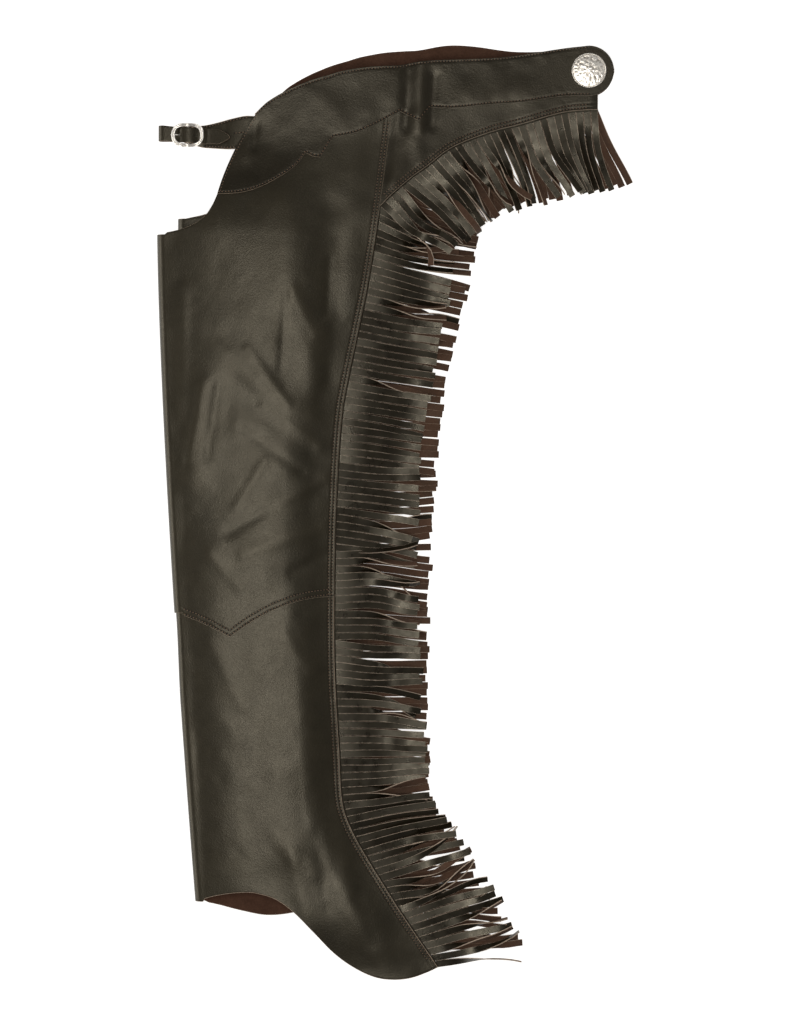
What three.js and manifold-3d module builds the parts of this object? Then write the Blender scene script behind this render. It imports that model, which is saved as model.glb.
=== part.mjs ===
// Western show chaps for a rider, lying folded flat on their right side.
//
// The pair has two alike halves, a left one on top and a right one against the surface.
// Each half is a leather leg, wrapped round a front fold and closed by a zip along the
// outer seam, with a hip panel, a shaped yoke at the waist and a cut fringe that follows
// the hip edge and the outer seam down to the flared heel. The yokes meet at the back in
// a concho with a screw post, and at the front in a strap and buckle.
//
// Millimetres. +X points to the back of the wearer, +Y to the waist and +Z up off the
// surface. The plan is drawn from the crotch corner of the left leg's fold, and the
// finished group is moved so that its origin is under the middle of its box.
import * as THREE from "three";
import { mergeVertices } from "three/addons/utils/BufferGeometryUtils.js";
import Module from "manifold-3d";

const wasm = await Module();
wasm.setup();

// Driving dimensions of the plan
const CROTCH_TO_HEM = 735; // along the front fold of a leg
const THIGH_WIDTH = 245; // of a flat leg, from the fold to the outer seam at the crotch
const FOLD_LEAN = 42; // how far the front fold leans back on its way to the hem
const HIP_DEPTH = 505; // from the front fold back to the rear end of the yoke
const WAIST_RISE = 211; // from the crotch corner up to the top of the yoke
const YOKE_END_RADIUS = 27.7; // round rear end of the yoke
const SLIDE_BACK = 22; // how far the right half lies behind the left one at the crotch
const SLIDE_UP = 19; // and how far above it
const SLIDE_BACK_AT_HEM = 9;

// Leather and how it is laid
const LEATHER = 1.5;
const CLEARANCE = 0.35; // between two pieces that are sewn together
const PLY = LEATHER + CLEARANCE; // from one layer of leather to the next
const SEAM_LAP = 12; // how far one panel runs under the next at a seam
const FOLD_REACH = 9; // half width of the round front fold
const AIR_LEFT = 12; // height of the hollow in the left leg
const AIR_RIGHT = 9; // and in the right one, which carries the other
const LEGS_APART = 0.8; // between the two legs where they rest on each other
const WAIST_SAG = 0.42; // share of the stack's height that is left at the waist
const HEEL_SAG = 0.5; // and at the tip of the heel
const REAR_CLOSE = 3.2; // how much nearer the halves lie where their free layers end, at the concho
const REAR_FLAT = 1.9; // across, from where the yokes lie flat under the concho

// Fringe
const FRINGE_LENGTH = 88;
const FRINGE_RAGGED = 0.06; // share by which the strips' lengths differ
const FRINGE_PITCH = 8.5;
const FRINGE_SLIT = 1;
const FRINGE_STRIP_THICKNESS = 1.1;
const FRINGE_OUTSET = 2; // the uncut band that shows beyond the seam
const FRINGE_TIP_LIFT = 3.4; // how high the left half's tips lie on the right half's fringe

// Zip
const ZIP_WIDTH = 13;
const ZIP_THICKNESS = 1.2;

// Straps and buckle
const STRAP_WIDTH = 17;
const TAB_WIDTH = 0.17 * WAIST_RISE; // of the buckle's tab, which fills the yoke's front edge
const STRAP_Y = 0.54 * WAIST_RISE; // where the straps leave the yokes
const STRAP_TILT = -0.07; // and how they slope towards their tip
const STRAP_FOLD_RADIUS = 5; // of the round turn at the front
const STRAP_SLACK = 0.6; // extra room for a strap between two layers
const BILLET_FRONT_X = 1;
const BILLET_TIP_X = 80;
const BUCKLE_X = 33;
const BUCKLE_LENGTH = 36;
const BUCKLE_WIDTH = 27;
const BUCKLE_BAND = 4.2;
const BUCKLE_THICKNESS = 2.6;
const BUCKLE_SQUARENESS = 4;
const BUCKLE_BAR_RADIUS = 1.1;
const BUCKLE_BAR_DROP = 1; // the bar hangs this much below the strap
const TONGUE_RADIUS = 0.9;
const TONGUE_WIDTH = 3;
const PUNCHED_HOLE_RADIUS = 1.9;
const PUNCHED_HOLE_X = 42;

// Concho
const CONCHO_RADIUS = 19.05;
const CONCHO_RIM = 1.5;
const CONCHO_DOME = 3;
const CONCHO_RELIEF = 0.35;
const CONCHO_PETALS = 12;
const SCREW_RADIUS = 2.4;
const SCREW_CAP_RADIUS = 6.5;
const SCREW_CAP_THICKNESS = 1.6;

// The outer seam of a leg, from the waist to the heel. down is a share of CROTCH_TO_HEM
// and across a share of THIGH_WIDTH.
const SEAM = [
  { down: -0.2, across: 1.0625 },
  { down: -0.037, across: 1.0 },
  { down: 0.081, across: 0.944 },
  { down: 0.188, across: 0.877 },
  { down: 0.27, across: 0.832 },
  { down: 0.42, across: 0.804 },
  { down: 0.56, across: 0.797 },
  { down: 0.66, across: 0.8 },
  { down: 0.78, across: 0.82 },
  { down: 0.851, across: 0.833 },
  { down: 0.889, across: 0.869 },
  { down: 0.934, across: 0.942 },
  { down: 0.982, across: 1.031 },
  { down: 1.029, across: 1.12 },
  { down: 1.1016, across: 1.266 },
];

// Columns of a half's outer side in front of the yoke. across runs from 0 at the front
// fold to 1 at the outer seam and 2 at the concho. Heights are shares of WAIST_RISE.
const FRONT_COLUMNS = [
  { across: 0, top: 0 },
  { across: 0.12, top: 0.028 },
  { across: 0.18, top: 0.057 },
  { across: 0.225, top: 0.1 },
  { across: 0.253, top: 0.155 },
];

// And of the yoke, from its front edge to the concho: the waist edge, the shaped lower
// edge, and behind the seam the lower edge of the hip panel
const YOKE_COLUMNS = [
  { topAcross: 0.422, top: 0.634, across: 0.271, low: 0.212 },
  { topAcross: 0.46, top: 0.688, across: 0.363, low: 0.217 },
  { topAcross: 0.505, top: 0.727, across: 0.44, low: 0.24 },
  { topAcross: 0.56, top: 0.765, across: 0.529, low: 0.294 },
  { topAcross: 0.62, top: 0.798, across: 0.609, low: 0.366 },
  { topAcross: 0.66, top: 0.817, across: 0.646, low: 0.432 },
  { topAcross: 0.713, top: 0.836, across: 0.712, low: 0.407 },
  { topAcross: 0.76, top: 0.855, across: 0.757, low: 0.513 },
  { topAcross: 0.86, top: 0.879, across: 0.859, low: 0.539 },
  { topAcross: 0.951, top: 0.888, across: 0.951, low: 0.593, hip: 0.105 },
  { topAcross: 1, top: 0.891, across: 1, low: 0.627, hip: 0.152 },
  { topAcross: 1.04, top: 0.896, across: 1.04, low: 0.653, hip: 0.205 },
  { topAcross: 1.141, top: 0.916, across: 1.141, low: 0.602, hip: 0.312 },
  { topAcross: 1.191, top: 0.919, across: 1.191, low: 0.675, hip: 0.353 },
  { topAcross: 1.313, top: 0.925, across: 1.313, low: 0.671, hip: 0.46 },
  { topAcross: 1.498, top: 0.933, across: 1.498, low: 0.69, hip: 0.543 },
  { topAcross: 1.663, top: 0.953, across: 1.663, low: 0.703, hip: 0.59 },
  { topAcross: 1.867, top: 0.985, across: 1.867, low: 0.735, hip: 0.65 },
];
const HIP_SHARE_AT_CONCHO = 0.665;
const YOKE_FRONT_BOW = 4.5; // the front edge bows forward by this much
const YOKE_END_STEPS = 4;
const HIP_LINE = 0.18; // share of the way from the yoke to the knee where the hip panel ends

// Hem of the outer layer, in shares of CROTCH_TO_HEM
const HEM = [
  { across: 0, down: 1 },
  { across: 0.12, down: 0.99 },
  { across: 0.27, down: 0.985 },
  { across: 0.346, down: 0.988 },
  { across: 0.42, down: 0.997 },
  { across: 0.486, down: 1.017 },
  { across: 0.54, down: 1.046 },
  { across: 0.585, down: 1.0755 },
  { across: 0.64, down: 1.098 },
  { across: 0.71, down: 1.114 },
  { across: 0.78, down: 1.1185 },
  { across: 0.86, down: 1.1165 },
  { across: 0.94, down: 1.109 },
  { across: 1, down: 1.1016 },
];

// Columns of the leg's inner layer, in the same shares
const INNER_COLUMNS = [
  { across: 0, top: 0, hem: 1.0 },
  { across: 0.1, top: 0.012, hem: 1.0055 },
  { across: 0.22, top: 0.025, hem: 1.015 },
  { across: 0.346, top: 0.035, hem: 1.022 },
  { across: 0.5, top: 0.043, hem: 1.0165 },
  { across: 0.72, top: 0.05, hem: 0.998 },
  { across: 0.951, top: 0.057, hem: 0.979 },
  { across: 1, top: 0.06, hem: 0.975 },
];

// Height of the hollow in a flat leg, as a share of its air
const HOLLOW = [
  { across: 0, share: 0.8 },
  { across: 0.14, share: 0.97 },
  { across: 0.3, share: 1 },
  { across: 0.5, share: 0.95 },
  { across: 0.7, share: 0.72 },
  { across: 0.87, share: 0.5 },
  { across: 1, share: 0.32 },
];

// The knee seam dips to a point on the shin
const KNEE_AT_FOLD = 0.567;
const KNEE_POINT = { across: 0.346, down: 0.603 };
const KNEE_AT_SEAM = 0.5425;

// Folds of the left half, each a rise or a dip along a line. X and width are shares of
// THIGH_WIDTH, Y is a share of CROTCH_TO_HEM and height one of AIR_LEFT.
const FOLDS = [
  { fromX: 0.42, fromY: -0.02, toX: 0.5, toY: -0.16, width: 0.106, height: 0.22 },
  { fromX: 0.68, fromY: 0.02, toX: 0.72, toY: -0.2, width: 0.07, height: -0.25 },
  { fromX: 0.74, fromY: -0.12, toX: 0.68, toY: -0.3, width: 0.057, height: 0.15 },
  { fromX: 0.3, fromY: -0.16, toX: 0.6, toY: -0.27, width: 0.061, height: 0.17 },
  { fromX: 0.24, fromY: -0.22, toX: 0.14, toY: -0.36, width: 0.065, height: 0.18 },
  { fromX: 0.3, fromY: -0.26, toX: 0.24, toY: -0.42, width: 0.065, height: -0.17 },
  { fromX: 0.5, fromY: -0.34, toX: 0.46, toY: -0.5, width: 0.09, height: 0.17 },
  { fromX: 0.5, fromY: -0.66, toX: 0.52, toY: -0.9, width: 0.106, height: 0.18 },
  { fromX: 0.68, fromY: -0.64, toX: 0.66, toY: -0.84, width: 0.065, height: -0.15 },
];

const mix = (a, b, share) => a + (b - a) * share;
const clamp01 = (value) => Math.min(1, Math.max(0, value));
const ease = (value) => clamp01(value) ** 2 * (3 - 2 * clamp01(value));

// A column of a table at a place, on a smooth curve through the rows
function read(table, key, column, at) {
  const last = table.length - 1;
  const slope = (i) => {
    const a = table[Math.max(0, i - 1)];
    const b = table[Math.min(last, i + 1)];
    return (b[column] - a[column]) / (b[key] - a[key]);
  };
  const next = table.findIndex((row) => row[key] > at);
  if (next === 0) return table[0][column] + slope(0) * (at - table[0][key]);
  if (next < 0) return table[last][column] + slope(last) * (at - table[last][key]);
  const [a, b] = [table[next - 1], table[next]];
  const span = b[key] - a[key];
  const s = (at - a[key]) / span;
  const bend = s * (1 - s) * span;
  const secant = (b[column] - a[column]) / span;
  const pull = (1 - s) * (slope(next - 1) - secant) - s * (slope(next) - secant);
  return mix(a[column], b[column], s) + bend * pull;
}

// Plan of a half
const CONCHO_X = HIP_DEPTH - YOKE_END_RADIUS;
const CONCHO_Y = WAIST_RISE - YOKE_END_RADIUS;
const foldX = (y) => FOLD_LEAN * Math.max(0, -y / CROTCH_TO_HEM) ** 1.4;
const seamX = (y) => THIGH_WIDTH * read(SEAM, "down", "across", -y / CROTCH_TO_HEM);
function planX(across, y) {
  if (across <= 1) return mix(foldX(y), seamX(y), across);
  return mix(seamX(y), CONCHO_X, across - 1);
}
function acrossOf(x, y) {
  const [fold, seam] = [foldX(y), seamX(y)];
  if (x <= seam) return clamp01((x - fold) / (seam - fold));
  return 1 + clamp01((x - seam) / (CONCHO_X - seam));
}

// The right half lies a little behind and above the left one, less so at the concho
// and at the hem
function slide(x, y) {
  const fromRear = 1 - ease((x - 0.58 * HIP_DEPTH) / (0.32 * HIP_DEPTH));
  const back = mix(SLIDE_BACK, SLIDE_BACK_AT_HEM, clamp01(-y / CROTCH_TO_HEM));
  return [back * fromRear, SLIDE_UP * fromRear];
}

// How many layers lie outside the innermost one
function outerLevels(y) {
  const upper = ease((y + 0.72 * CROTCH_TO_HEM) / (0.09 * CROTCH_TO_HEM));
  const waist = ease((y + 0.06 * CROTCH_TO_HEM) / (0.085 * CROTCH_TO_HEM));
  return 1 + upper + waist;
}

// Heights of the four base surfaces. The right half's are measured at its own plan.
const screwLift = (across) => (SCREW_CAP_THICKNESS + CLEARANCE) * ease((across - 1.5) / 0.3);
const hollow = (across) => read(HOLLOW, "across", "share", Math.min(1, across));
const rightOuter = (x, y) => LEATHER + PLY * outerLevels(y) + screwLift(acrossOf(x, y));
const rightInner = (x, y) => rightOuter(x, y) + AIR_RIGHT * hollow(acrossOf(x, y));
function underLeft(x, y) {
  const [back, up] = slide(x, y);
  return [x - back, y - up];
}
const leftInner = (x, y) => rightInner(...underLeft(x, y)) + 2 * (PLY + LEATHER) + LEGS_APART;
function fold(x, y) {
  let rise = 0;
  for (const f of FOLDS) {
    const from = new THREE.Vector2(f.fromX * THIGH_WIDTH, f.fromY * CROTCH_TO_HEM);
    const line = new THREE.Vector2(f.toX * THIGH_WIDTH, f.toY * CROTCH_TO_HEM).sub(from);
    const at = new THREE.Vector2(x, y).sub(from);
    const s = clamp01(at.dot(line) / line.lengthSq());
    const distance = at.sub(line.multiplyScalar(s)).length();
    const share = distance / (f.width * THIGH_WIDTH);
    rise += f.height * AIR_LEFT * Math.exp(-(share ** 2));
  }
  const across = acrossOf(x, y);
  return rise * ease(across / 0.12) * ease((0.97 - across) / 0.14);
}
function leftOuter(x, y) {
  const across = acrossOf(x, y);
  const floor = rightOuter(...underLeft(x, y));
  const waist = mix(1, WAIST_SAG, ease(y / (0.55 * WAIST_RISE)));
  const heel = mix(HEEL_SAG, 1, ease((y + 1.12 * CROTCH_TO_HEM) / (0.11 * CROTCH_TO_HEM)));
  const stack = (leftInner(x, y) - floor + AIR_LEFT * hollow(across)) * waist * heel;
  const forward = clamp01((REAR_FLAT - Math.max(1, across)) / (REAR_FLAT - 1));
  return floor + mix(-REAR_CLOSE, stack, forward ** 1.2) + fold(x, y);
}

const LEFT = {
  name: "left",
  out: 1,
  outer: leftOuter,
  inner: leftInner,
  plan: (x, y) => [x, y],
  rows: { waist: 3, hip: 3, thigh: 9, shin: 8 },
  tipHeight: FRINGE_TIP_LIFT,
};
const RIGHT = {
  name: "right",
  out: -1,
  outer: rightOuter,
  inner: rightInner,
  plan: (x, y) => {
    const [back, up] = slide(x, y);
    return [x + back, y + up];
  },
  rows: { waist: 2, hip: 2, thigh: 5, shin: 5 },
  tipHeight: FRINGE_STRIP_THICKNESS / 2,
};

// A point on one of a half's layers: level counts layers away from its hollow, face is 0
// on the layer's face towards the hollow and 1 on the other
function outerPoint(half, [x, y], level, face) {
  return [...half.plan(x, y), half.outer(x, y) + half.out * (level * PLY + face * LEATHER)];
}
function innerPoint(half, [x, y], level, face) {
  return [...half.plan(x, y), half.inner(x, y) - half.out * (level * PLY + face * LEATHER)];
}

// The knee seam dips to a point on the shin
function kneeY(across) {
  const { across: point, down } = KNEE_POINT;
  if (across < point) return -CROTCH_TO_HEM * mix(KNEE_AT_FOLD, down, (across / point) ** 1.3);
  const s = (1 - across) / (1 - point);
  return -CROTCH_TO_HEM * mix(KNEE_AT_SEAM, down, s ** 2);
}

// The plan of a half's outer side is one grid, which all its pieces share. It has lines
// at each edge and each lap of the pieces, and evenly spaced ones between these.
function linesOf(half) {
  const { waist, hip, thigh, shin } = half.rows;
  const spread = (zone, count) =>
    Array.from({ length: count }, (_, i) => ({ zone, share: (i + 1) / (count + 1) }));
  const edge = (zone) => ({ zone, share: 0 });
  return [
    edge("waist"),
    ...spread("waist", waist - 1),
    edge("yoke lap"),
    edge("yoke edge"),
    ...spread("hip", hip - 1),
    edge("hip lap"),
    edge("hip edge"),
    ...spread("thigh", thigh - 1),
    edge("knee lap"),
    edge("knee"),
    ...spread("shin", shin - 1),
    edge("hem"),
  ];
}
const lineOf = (half, zone) => linesOf(half).findIndex((line) => line.zone === zone);

function yokeEnd() {
  const columns = [];
  for (let i = 0; i <= YOKE_END_STEPS; i++) {
    const turn = (i / YOKE_END_STEPS) * 0.47 * Math.PI;
    const x = CONCHO_X + YOKE_END_RADIUS * Math.sin(turn);
    const rise = YOKE_END_RADIUS * Math.cos(turn);
    columns.push({ x, topY: CONCHO_Y + rise, lowY: CONCHO_Y - rise });
  }
  return columns;
}

// One column's plan points, one for each line that it has
function columnPoints(half, column) {
  const onLeg = column.across <= 1;
  const x = (y) => column.x ?? planX(column.across, y);
  const front = column.low === undefined && onLeg;
  const topY = column.topY ?? column.top * WAIST_RISE;
  const lowY = front ? topY - SEAM_LAP : (column.lowY ?? column.low * WAIST_RISE);
  const top = [column.x ?? planX(column.topAcross ?? column.across, topY), topY];
  const low = [x(lowY), lowY];
  const length = Math.hypot(top[0] - low[0], top[1] - low[1]);
  const lap = Math.min(SEAM_LAP / length, 0.4);
  const bow = column === YOKE_COLUMNS[0] ? YOKE_FRONT_BOW * 4 : 0;
  const yokePoint = (s) => [
    mix(top[0], low[0], s) - bow * s * (1 - s),
    mix(top[1], low[1], s),
  ];
  const knee = onLeg ? kneeY(column.across) : 0;
  const hipShare = column.hip ?? HIP_SHARE_AT_CONCHO;
  const hipY = front || !(column.hip || !onLeg) ? mix(lowY, knee, HIP_LINE) : hipShare * WAIST_RISE;
  const hemY = onLeg ? -CROTCH_TO_HEM * read(HEM, "across", "down", column.across) : 0;
  const lapY = hipY + SEAM_LAP;
  const spans = {
    "yoke lap": front ? topY : undefined,
    "yoke edge": lowY,
    "hip": [lowY, lapY],
    "hip lap": lapY,
    "hip edge": hipY,
    "thigh": [hipY, knee + SEAM_LAP],
    "knee lap": knee + SEAM_LAP,
    "knee": knee,
    "shin": [knee, hemY],
    "hem": hemY,
  };
  return linesOf(half).map(({ zone, share }) => {
    if (zone === "waist") return front ? null : yokePoint(share * (1 - lap));
    if (zone === "yoke lap" && !front) return yokePoint(1 - lap);
    const span = spans[zone];
    const y = Array.isArray(span) ? mix(...span, share) : span;
    return [x(y), y];
  });
}

const COLUMNS = [...FRONT_COLUMNS, ...YOKE_COLUMNS, ...yokeEnd()];
const FIRST_YOKE_COLUMN = FRONT_COLUMNS.length;
const SEAM_COLUMN = COLUMNS.findIndex((column) => column.across === 1);
const SEAM_LAP_COLUMN = SEAM_COLUMN - 1;
const LAST_HIP_COLUMN = COLUMNS.length - YOKE_END_STEPS;

// A closed wall between two faces, each a grid of points with the same rows and columns
function wall(faceA, faceB) {
  const [rows, columns] = [faceA.length, faceA[0].length];
  const points = [...faceA.flat(), ...faceB.flat()];
  const a = (r, c) => r * columns + c;
  const b = (r, c) => (rows + r) * columns + c;
  const index = [];
  const quad = (p, q, r, s) => index.push(p, q, r, p, r, s);
  for (let r = 0; r + 1 < rows; r++)
    for (let c = 0; c + 1 < columns; c++) {
      quad(a(r, c), a(r, c + 1), a(r + 1, c + 1), a(r + 1, c));
      quad(b(r + 1, c + 1), b(r, c + 1), b(r, c), b(r + 1, c));
    }
  for (let c = 0; c + 1 < columns; c++) {
    quad(a(0, c), b(0, c), b(0, c + 1), a(0, c + 1));
    quad(a(rows - 1, c), a(rows - 1, c + 1), b(rows - 1, c + 1), b(rows - 1, c));
  }
  for (let r = 0; r + 1 < rows; r++) {
    quad(a(r, 0), a(r + 1, 0), b(r + 1, 0), b(r, 0));
    quad(a(r, columns - 1), b(r, columns - 1), b(r + 1, columns - 1), a(r + 1, columns - 1));
  }
  return facingOut(points, index);
}

function facingOut(points, index) {
  const at = (i) => new THREE.Vector3(...points[index[i]]);
  let volume = 0;
  for (let i = 0; i < index.length; i += 3) volume += at(i).dot(at(i + 1).cross(at(i + 2)));
  if (volume < 0) index.reverse();
  const geometry = new THREE.BufferGeometry();
  geometry.setAttribute("position", new THREE.Float32BufferAttribute(points.flat(), 3));
  geometry.setIndex(index);
  return geometry;
}

function solid(geometry) {
  const bare = geometry.clone();
  bare.deleteAttribute("normal");
  bare.deleteAttribute("uv");
  const merged = mergeVertices(bare, 1e-4);
  return new wasm.Manifold(
    new wasm.Mesh({
      numProp: 3,
      vertProperties: merged.attributes.position.array,
      triVerts: new Uint32Array(merged.index.array),
    }),
  );
}

function geometryOf(made) {
  const mesh = made.getMesh();
  const geometry = new THREE.BufferGeometry();
  const points = [];
  for (let i = 0; i < mesh.vertProperties.length; i += mesh.numProp)
    points.push(...mesh.vertProperties.slice(i, i + 3));
  geometry.setAttribute("position", new THREE.Float32BufferAttribute(points, 3));
  geometry.setIndex([...mesh.triVerts]);
  return geometry;
}

// One cross-section of a leg wall: along the outer layer from the seam to the fold, round
// it and back along the inner layer
const FOLD_STEPS = 6;
function legSection(half, line, outerLevel, innerLevel, face) {
  const outer = COLUMNS.slice(0, SEAM_COLUMN + 1).map((column) => columnPoints(half, column));
  const points = outer.slice(1).map((column) => outerPoint(half, column[line], outerLevel, face));
  points.reverse();
  const foldLine = outer[0].map((point) => point && point[1]);
  const y = foldLine[line];
  const x = foldX(y) + FOLD_REACH;
  const top = outerPoint(half, [x, y], outerLevel, 0)[2];
  const bottom = innerPoint(half, [x, y], innerLevel, 0)[2];
  const rise = (top - bottom) / 2 + half.out * face * LEATHER;
  const reach = FOLD_REACH - PLY * (2 - outerLevel) - (1 - face) * LEATHER;
  for (let i = 0; i <= FOLD_STEPS; i++) {
    const turn = Math.PI * (0.5 - i / FOLD_STEPS);
    const at = half.plan(x - reach * Math.cos(turn), y);
    points.push([...at, (top + bottom) / 2 + rise * Math.sin(turn)]);
  }
  for (const column of INNER_COLUMNS.slice(1)) {
    const innerY = innerLineY(half, foldLine, line, column);
    points.push(innerPoint(half, [planX(column.across, innerY), innerY], innerLevel, face));
  }
  return points;
}

// The inner layer's lines leave the fold where the outer layer's do
function innerLineY(half, foldLine, line, column) {
  const knee = kneeY(column.across);
  const [lap, seam] = [lineOf(half, "knee lap"), lineOf(half, "knee")];
  const top = foldLine[lineOf(half, "yoke lap")];
  if (line <= lap) {
    const share = (foldLine[line] - top) / (foldLine[lap] - top);
    return mix(column.top * WAIST_RISE, knee + SEAM_LAP, share);
  }
  const share = (foldLine[line] - foldLine[seam]) / (foldLine.at(-1) - foldLine[seam]);
  return mix(knee, -CROTCH_TO_HEM * column.hem, share);
}

function legPanel(half, firstZone, lastZone, outerLevel, innerLevel) {
  const lines = [];
  for (let i = lineOf(half, firstZone); i <= lineOf(half, lastZone); i++) lines.push(i);
  const face = (side) => lines.map((i) => legSection(half, i, outerLevel, innerLevel, side));
  return wall(face(1), face(0));
}

// A panel that fills the shared grid between two lines and two columns. Its columns run
// forward, as a leg's do, so that pieces that lap are faceted alike.
function panel(half, columns, zones, levelOf) {
  const [first, last] = zones.map((zone) => lineOf(half, zone));
  const forward = columns.reverse().map((i) => [i, columnPoints(half, COLUMNS[i])]);
  const grid = (face) =>
    range(first, last).map((line) =>
      forward.map(([i, points]) => outerPoint(half, points[line], levelOf(i), face)),
    );
  return wall(grid(1), grid(0));
}
const range = (first, last) => Array.from({ length: last - first + 1 }, (_, i) => first + i);

function cylinder(radius, low, high, x, y, sides) {
  const made = new THREE.CylinderGeometry(radius, radius, high - low, sides);
  made.rotateX(Math.PI / 2);
  made.translate(x, y, (low + high) / 2);
  return made;
}

// The screw's hole goes through all the layers at the concho
const yokeFace = outerPoint(LEFT, [CONCHO_X, CONCHO_Y], 3, 1)[2];
const yokeUnderside = outerPoint(RIGHT, [CONCHO_X, CONCHO_Y], 3, 1)[2];
const SCREW_SIDES = 12;
function screwHole() {
  const [low, high] = [yokeUnderside - LEATHER, yokeFace + LEATHER];
  return solid(cylinder(SCREW_RADIUS + CLEARANCE, low, high, CONCHO_X, CONCHO_Y, SCREW_SIDES));
}

function yoke(half) {
  const columns = range(FIRST_YOKE_COLUMN, COLUMNS.length - 1);
  const leather = solid(panel(half, columns, ["waist", "yoke edge"], () => 3));
  return geometryOf(leather.subtract(screwHole()));
}

// The hip panel runs under the leg panel at the seam and under the yoke above
const hipLevel = (column) => (column <= SEAM_COLUMN ? 1 : 2);
function hipPanel(half) {
  const columns = range(SEAM_LAP_COLUMN, LAST_HIP_COLUMN);
  const leather = solid(panel(half, columns, ["yoke lap", "hip edge"], hipLevel));
  return geometryOf(leather.subtract(screwHole()));
}

// The way the fringe's strips point, in degrees from +X, along the hip and down the leg
const HIP_FRINGE_TURN = [
  { at: 0, turn: -64 },
  { at: 0.3, turn: -68 },
  { at: 0.6, turn: -62 },
  { at: 0.85, turn: -45 },
  { at: 1, turn: -32 },
];
const LEG_FRINGE_TURN = [
  { at: 0, turn: -26 },
  { at: 0.08, turn: -13 },
  { at: 0.3, turn: -7 },
  { at: 0.6, turn: -3 },
  { at: 0.8, turn: 2 },
  { at: 0.9, turn: 7 },
  { at: 1, turn: 2 },
];
const radians = (degrees) => (degrees * Math.PI) / 180;

// The uncut band of the fringe: three points across it on each line, and the turn there
function hipBand(half) {
  const [lap, edge] = [lineOf(half, "hip lap"), lineOf(half, "hip edge")];
  const columns = range(SEAM_COLUMN, LAST_HIP_COLUMN).reverse();
  return columns.map((i, k) => {
    const points = columnPoints(half, COLUMNS[i]);
    const turn = radians(read(HIP_FRINGE_TURN, "at", "turn", k / (columns.length - 1)));
    return bandLine(points[lap], points[edge], turn, hipLevel(i) - 1);
  });
}
function legBand(half) {
  const lap = columnPoints(half, COLUMNS[SEAM_LAP_COLUMN]);
  const edge = columnPoints(half, COLUMNS[SEAM_COLUMN]);
  const first = lineOf(half, "hip edge");
  const knee = lineOf(half, "knee lap");
  return range(first, edge.length - 1).reverse().map((i) => {
    const share = (edge[first][1] - edge[i][1]) / (edge[first][1] - edge.at(-1)[1]);
    const turn = radians(read(LEG_FRINGE_TURN, "at", "turn", share));
    return bandLine(lap[i], edge[i], turn, i > first && i < knee ? 1 : 0);
  });
}
function bandLine(lap, edge, turn, level) {
  const out = [edge[0] + FRINGE_OUTSET * Math.cos(turn), edge[1] + FRINGE_OUTSET * Math.sin(turn)];
  return { points: [lap, edge, out], turn, level };
}

// A band, and the strips that leave its last line
function bandAndStrips(half, band) {
  const face = (side) =>
    band.map(({ points, level }) =>
      points.map((point, i) => {
        const z = outerPoint(half, points[Math.min(i, 1)], level, side)[2];
        return [...half.plan(...point), z];
      }),
    );
  const line = (i) => face(0.5).map((points) => new THREE.Vector3(...points[i]));
  const [root, edge] = [line(1), line(2)];
  const lengths = [0];
  for (let i = 1; i < edge.length; i++)
    lengths.push(lengths[i - 1] + edge[i].distanceTo(edge[i - 1]));
  const total = lengths.at(-1);
  const count = Math.round(total / FRINGE_PITCH);
  const place = (distance) => {
    const found = lengths.findIndex((length) => length >= distance);
    const next = found < 1 ? (found < 0 ? lengths.length - 1 : 1) : found;
    return [next, (distance - lengths[next - 1]) / (lengths[next] - lengths[next - 1])];
  };
  const along = (points, distance) => {
    const [next, s] = place(distance);
    return points[next - 1].clone().lerp(points[next], s);
  };
  const made = [solid(wall(face(1), face(0)))];
  const turnAt = (distance) => {
    const [next, s] = place(distance);
    return mix(band[next - 1].turn, band[next].turn, s);
  };
  const tipOf = (distance, reach) => {
    const [start, turn] = [along(edge, distance), turnAt(distance)];
    return new THREE.Vector2(start.x + reach * Math.cos(turn), start.y + reach * Math.sin(turn));
  };
  for (let i = 0; i < count; i++) {
    const [from, to] = [(i / count) * total, ((i + 1) / count) * total];
    const middle = (from + to) / 2;
    const long = FRINGE_LENGTH * (1 + FRINGE_RAGGED * Math.sin(2.4 * i));
    const width = to - from - FRINGE_SLIT;
    const spacing = tipOf(from, long).distanceTo(tipOf(to, long));
    const tipWidth = Math.min(width, spacing - FRINGE_SLIT);
    const across = along(edge, to).sub(along(edge, from)).setZ(0).normalize();
    const sides = [-0.5, 0.5].map((side) => {
      const start = along(edge, middle + side * width);
      const inside = along(root, middle + side * width).lerp(start, 0.3);
      const tip = tipOf(middle, long).addScaledVector(across, side * tipWidth);
      return [inside.toArray(), [tip.x, tip.y, half.tipHeight]];
    });
    const lifted = (by) => sides.map((points) => points.map(([x, y, z]) => [x, y, z + by]));
    made.push(solid(wall(lifted(FRINGE_STRIP_THICKNESS / 2), lifted(-FRINGE_STRIP_THICKNESS / 2))));
  }
  return made;
}

// One fringe follows the hip edge and the whole outer seam
function fringe(half) {
  const parts = [...bandAndStrips(half, hipBand(half)), ...bandAndStrips(half, legBand(half))];
  return geometryOf(wasm.Manifold.union(parts));
}

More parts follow.
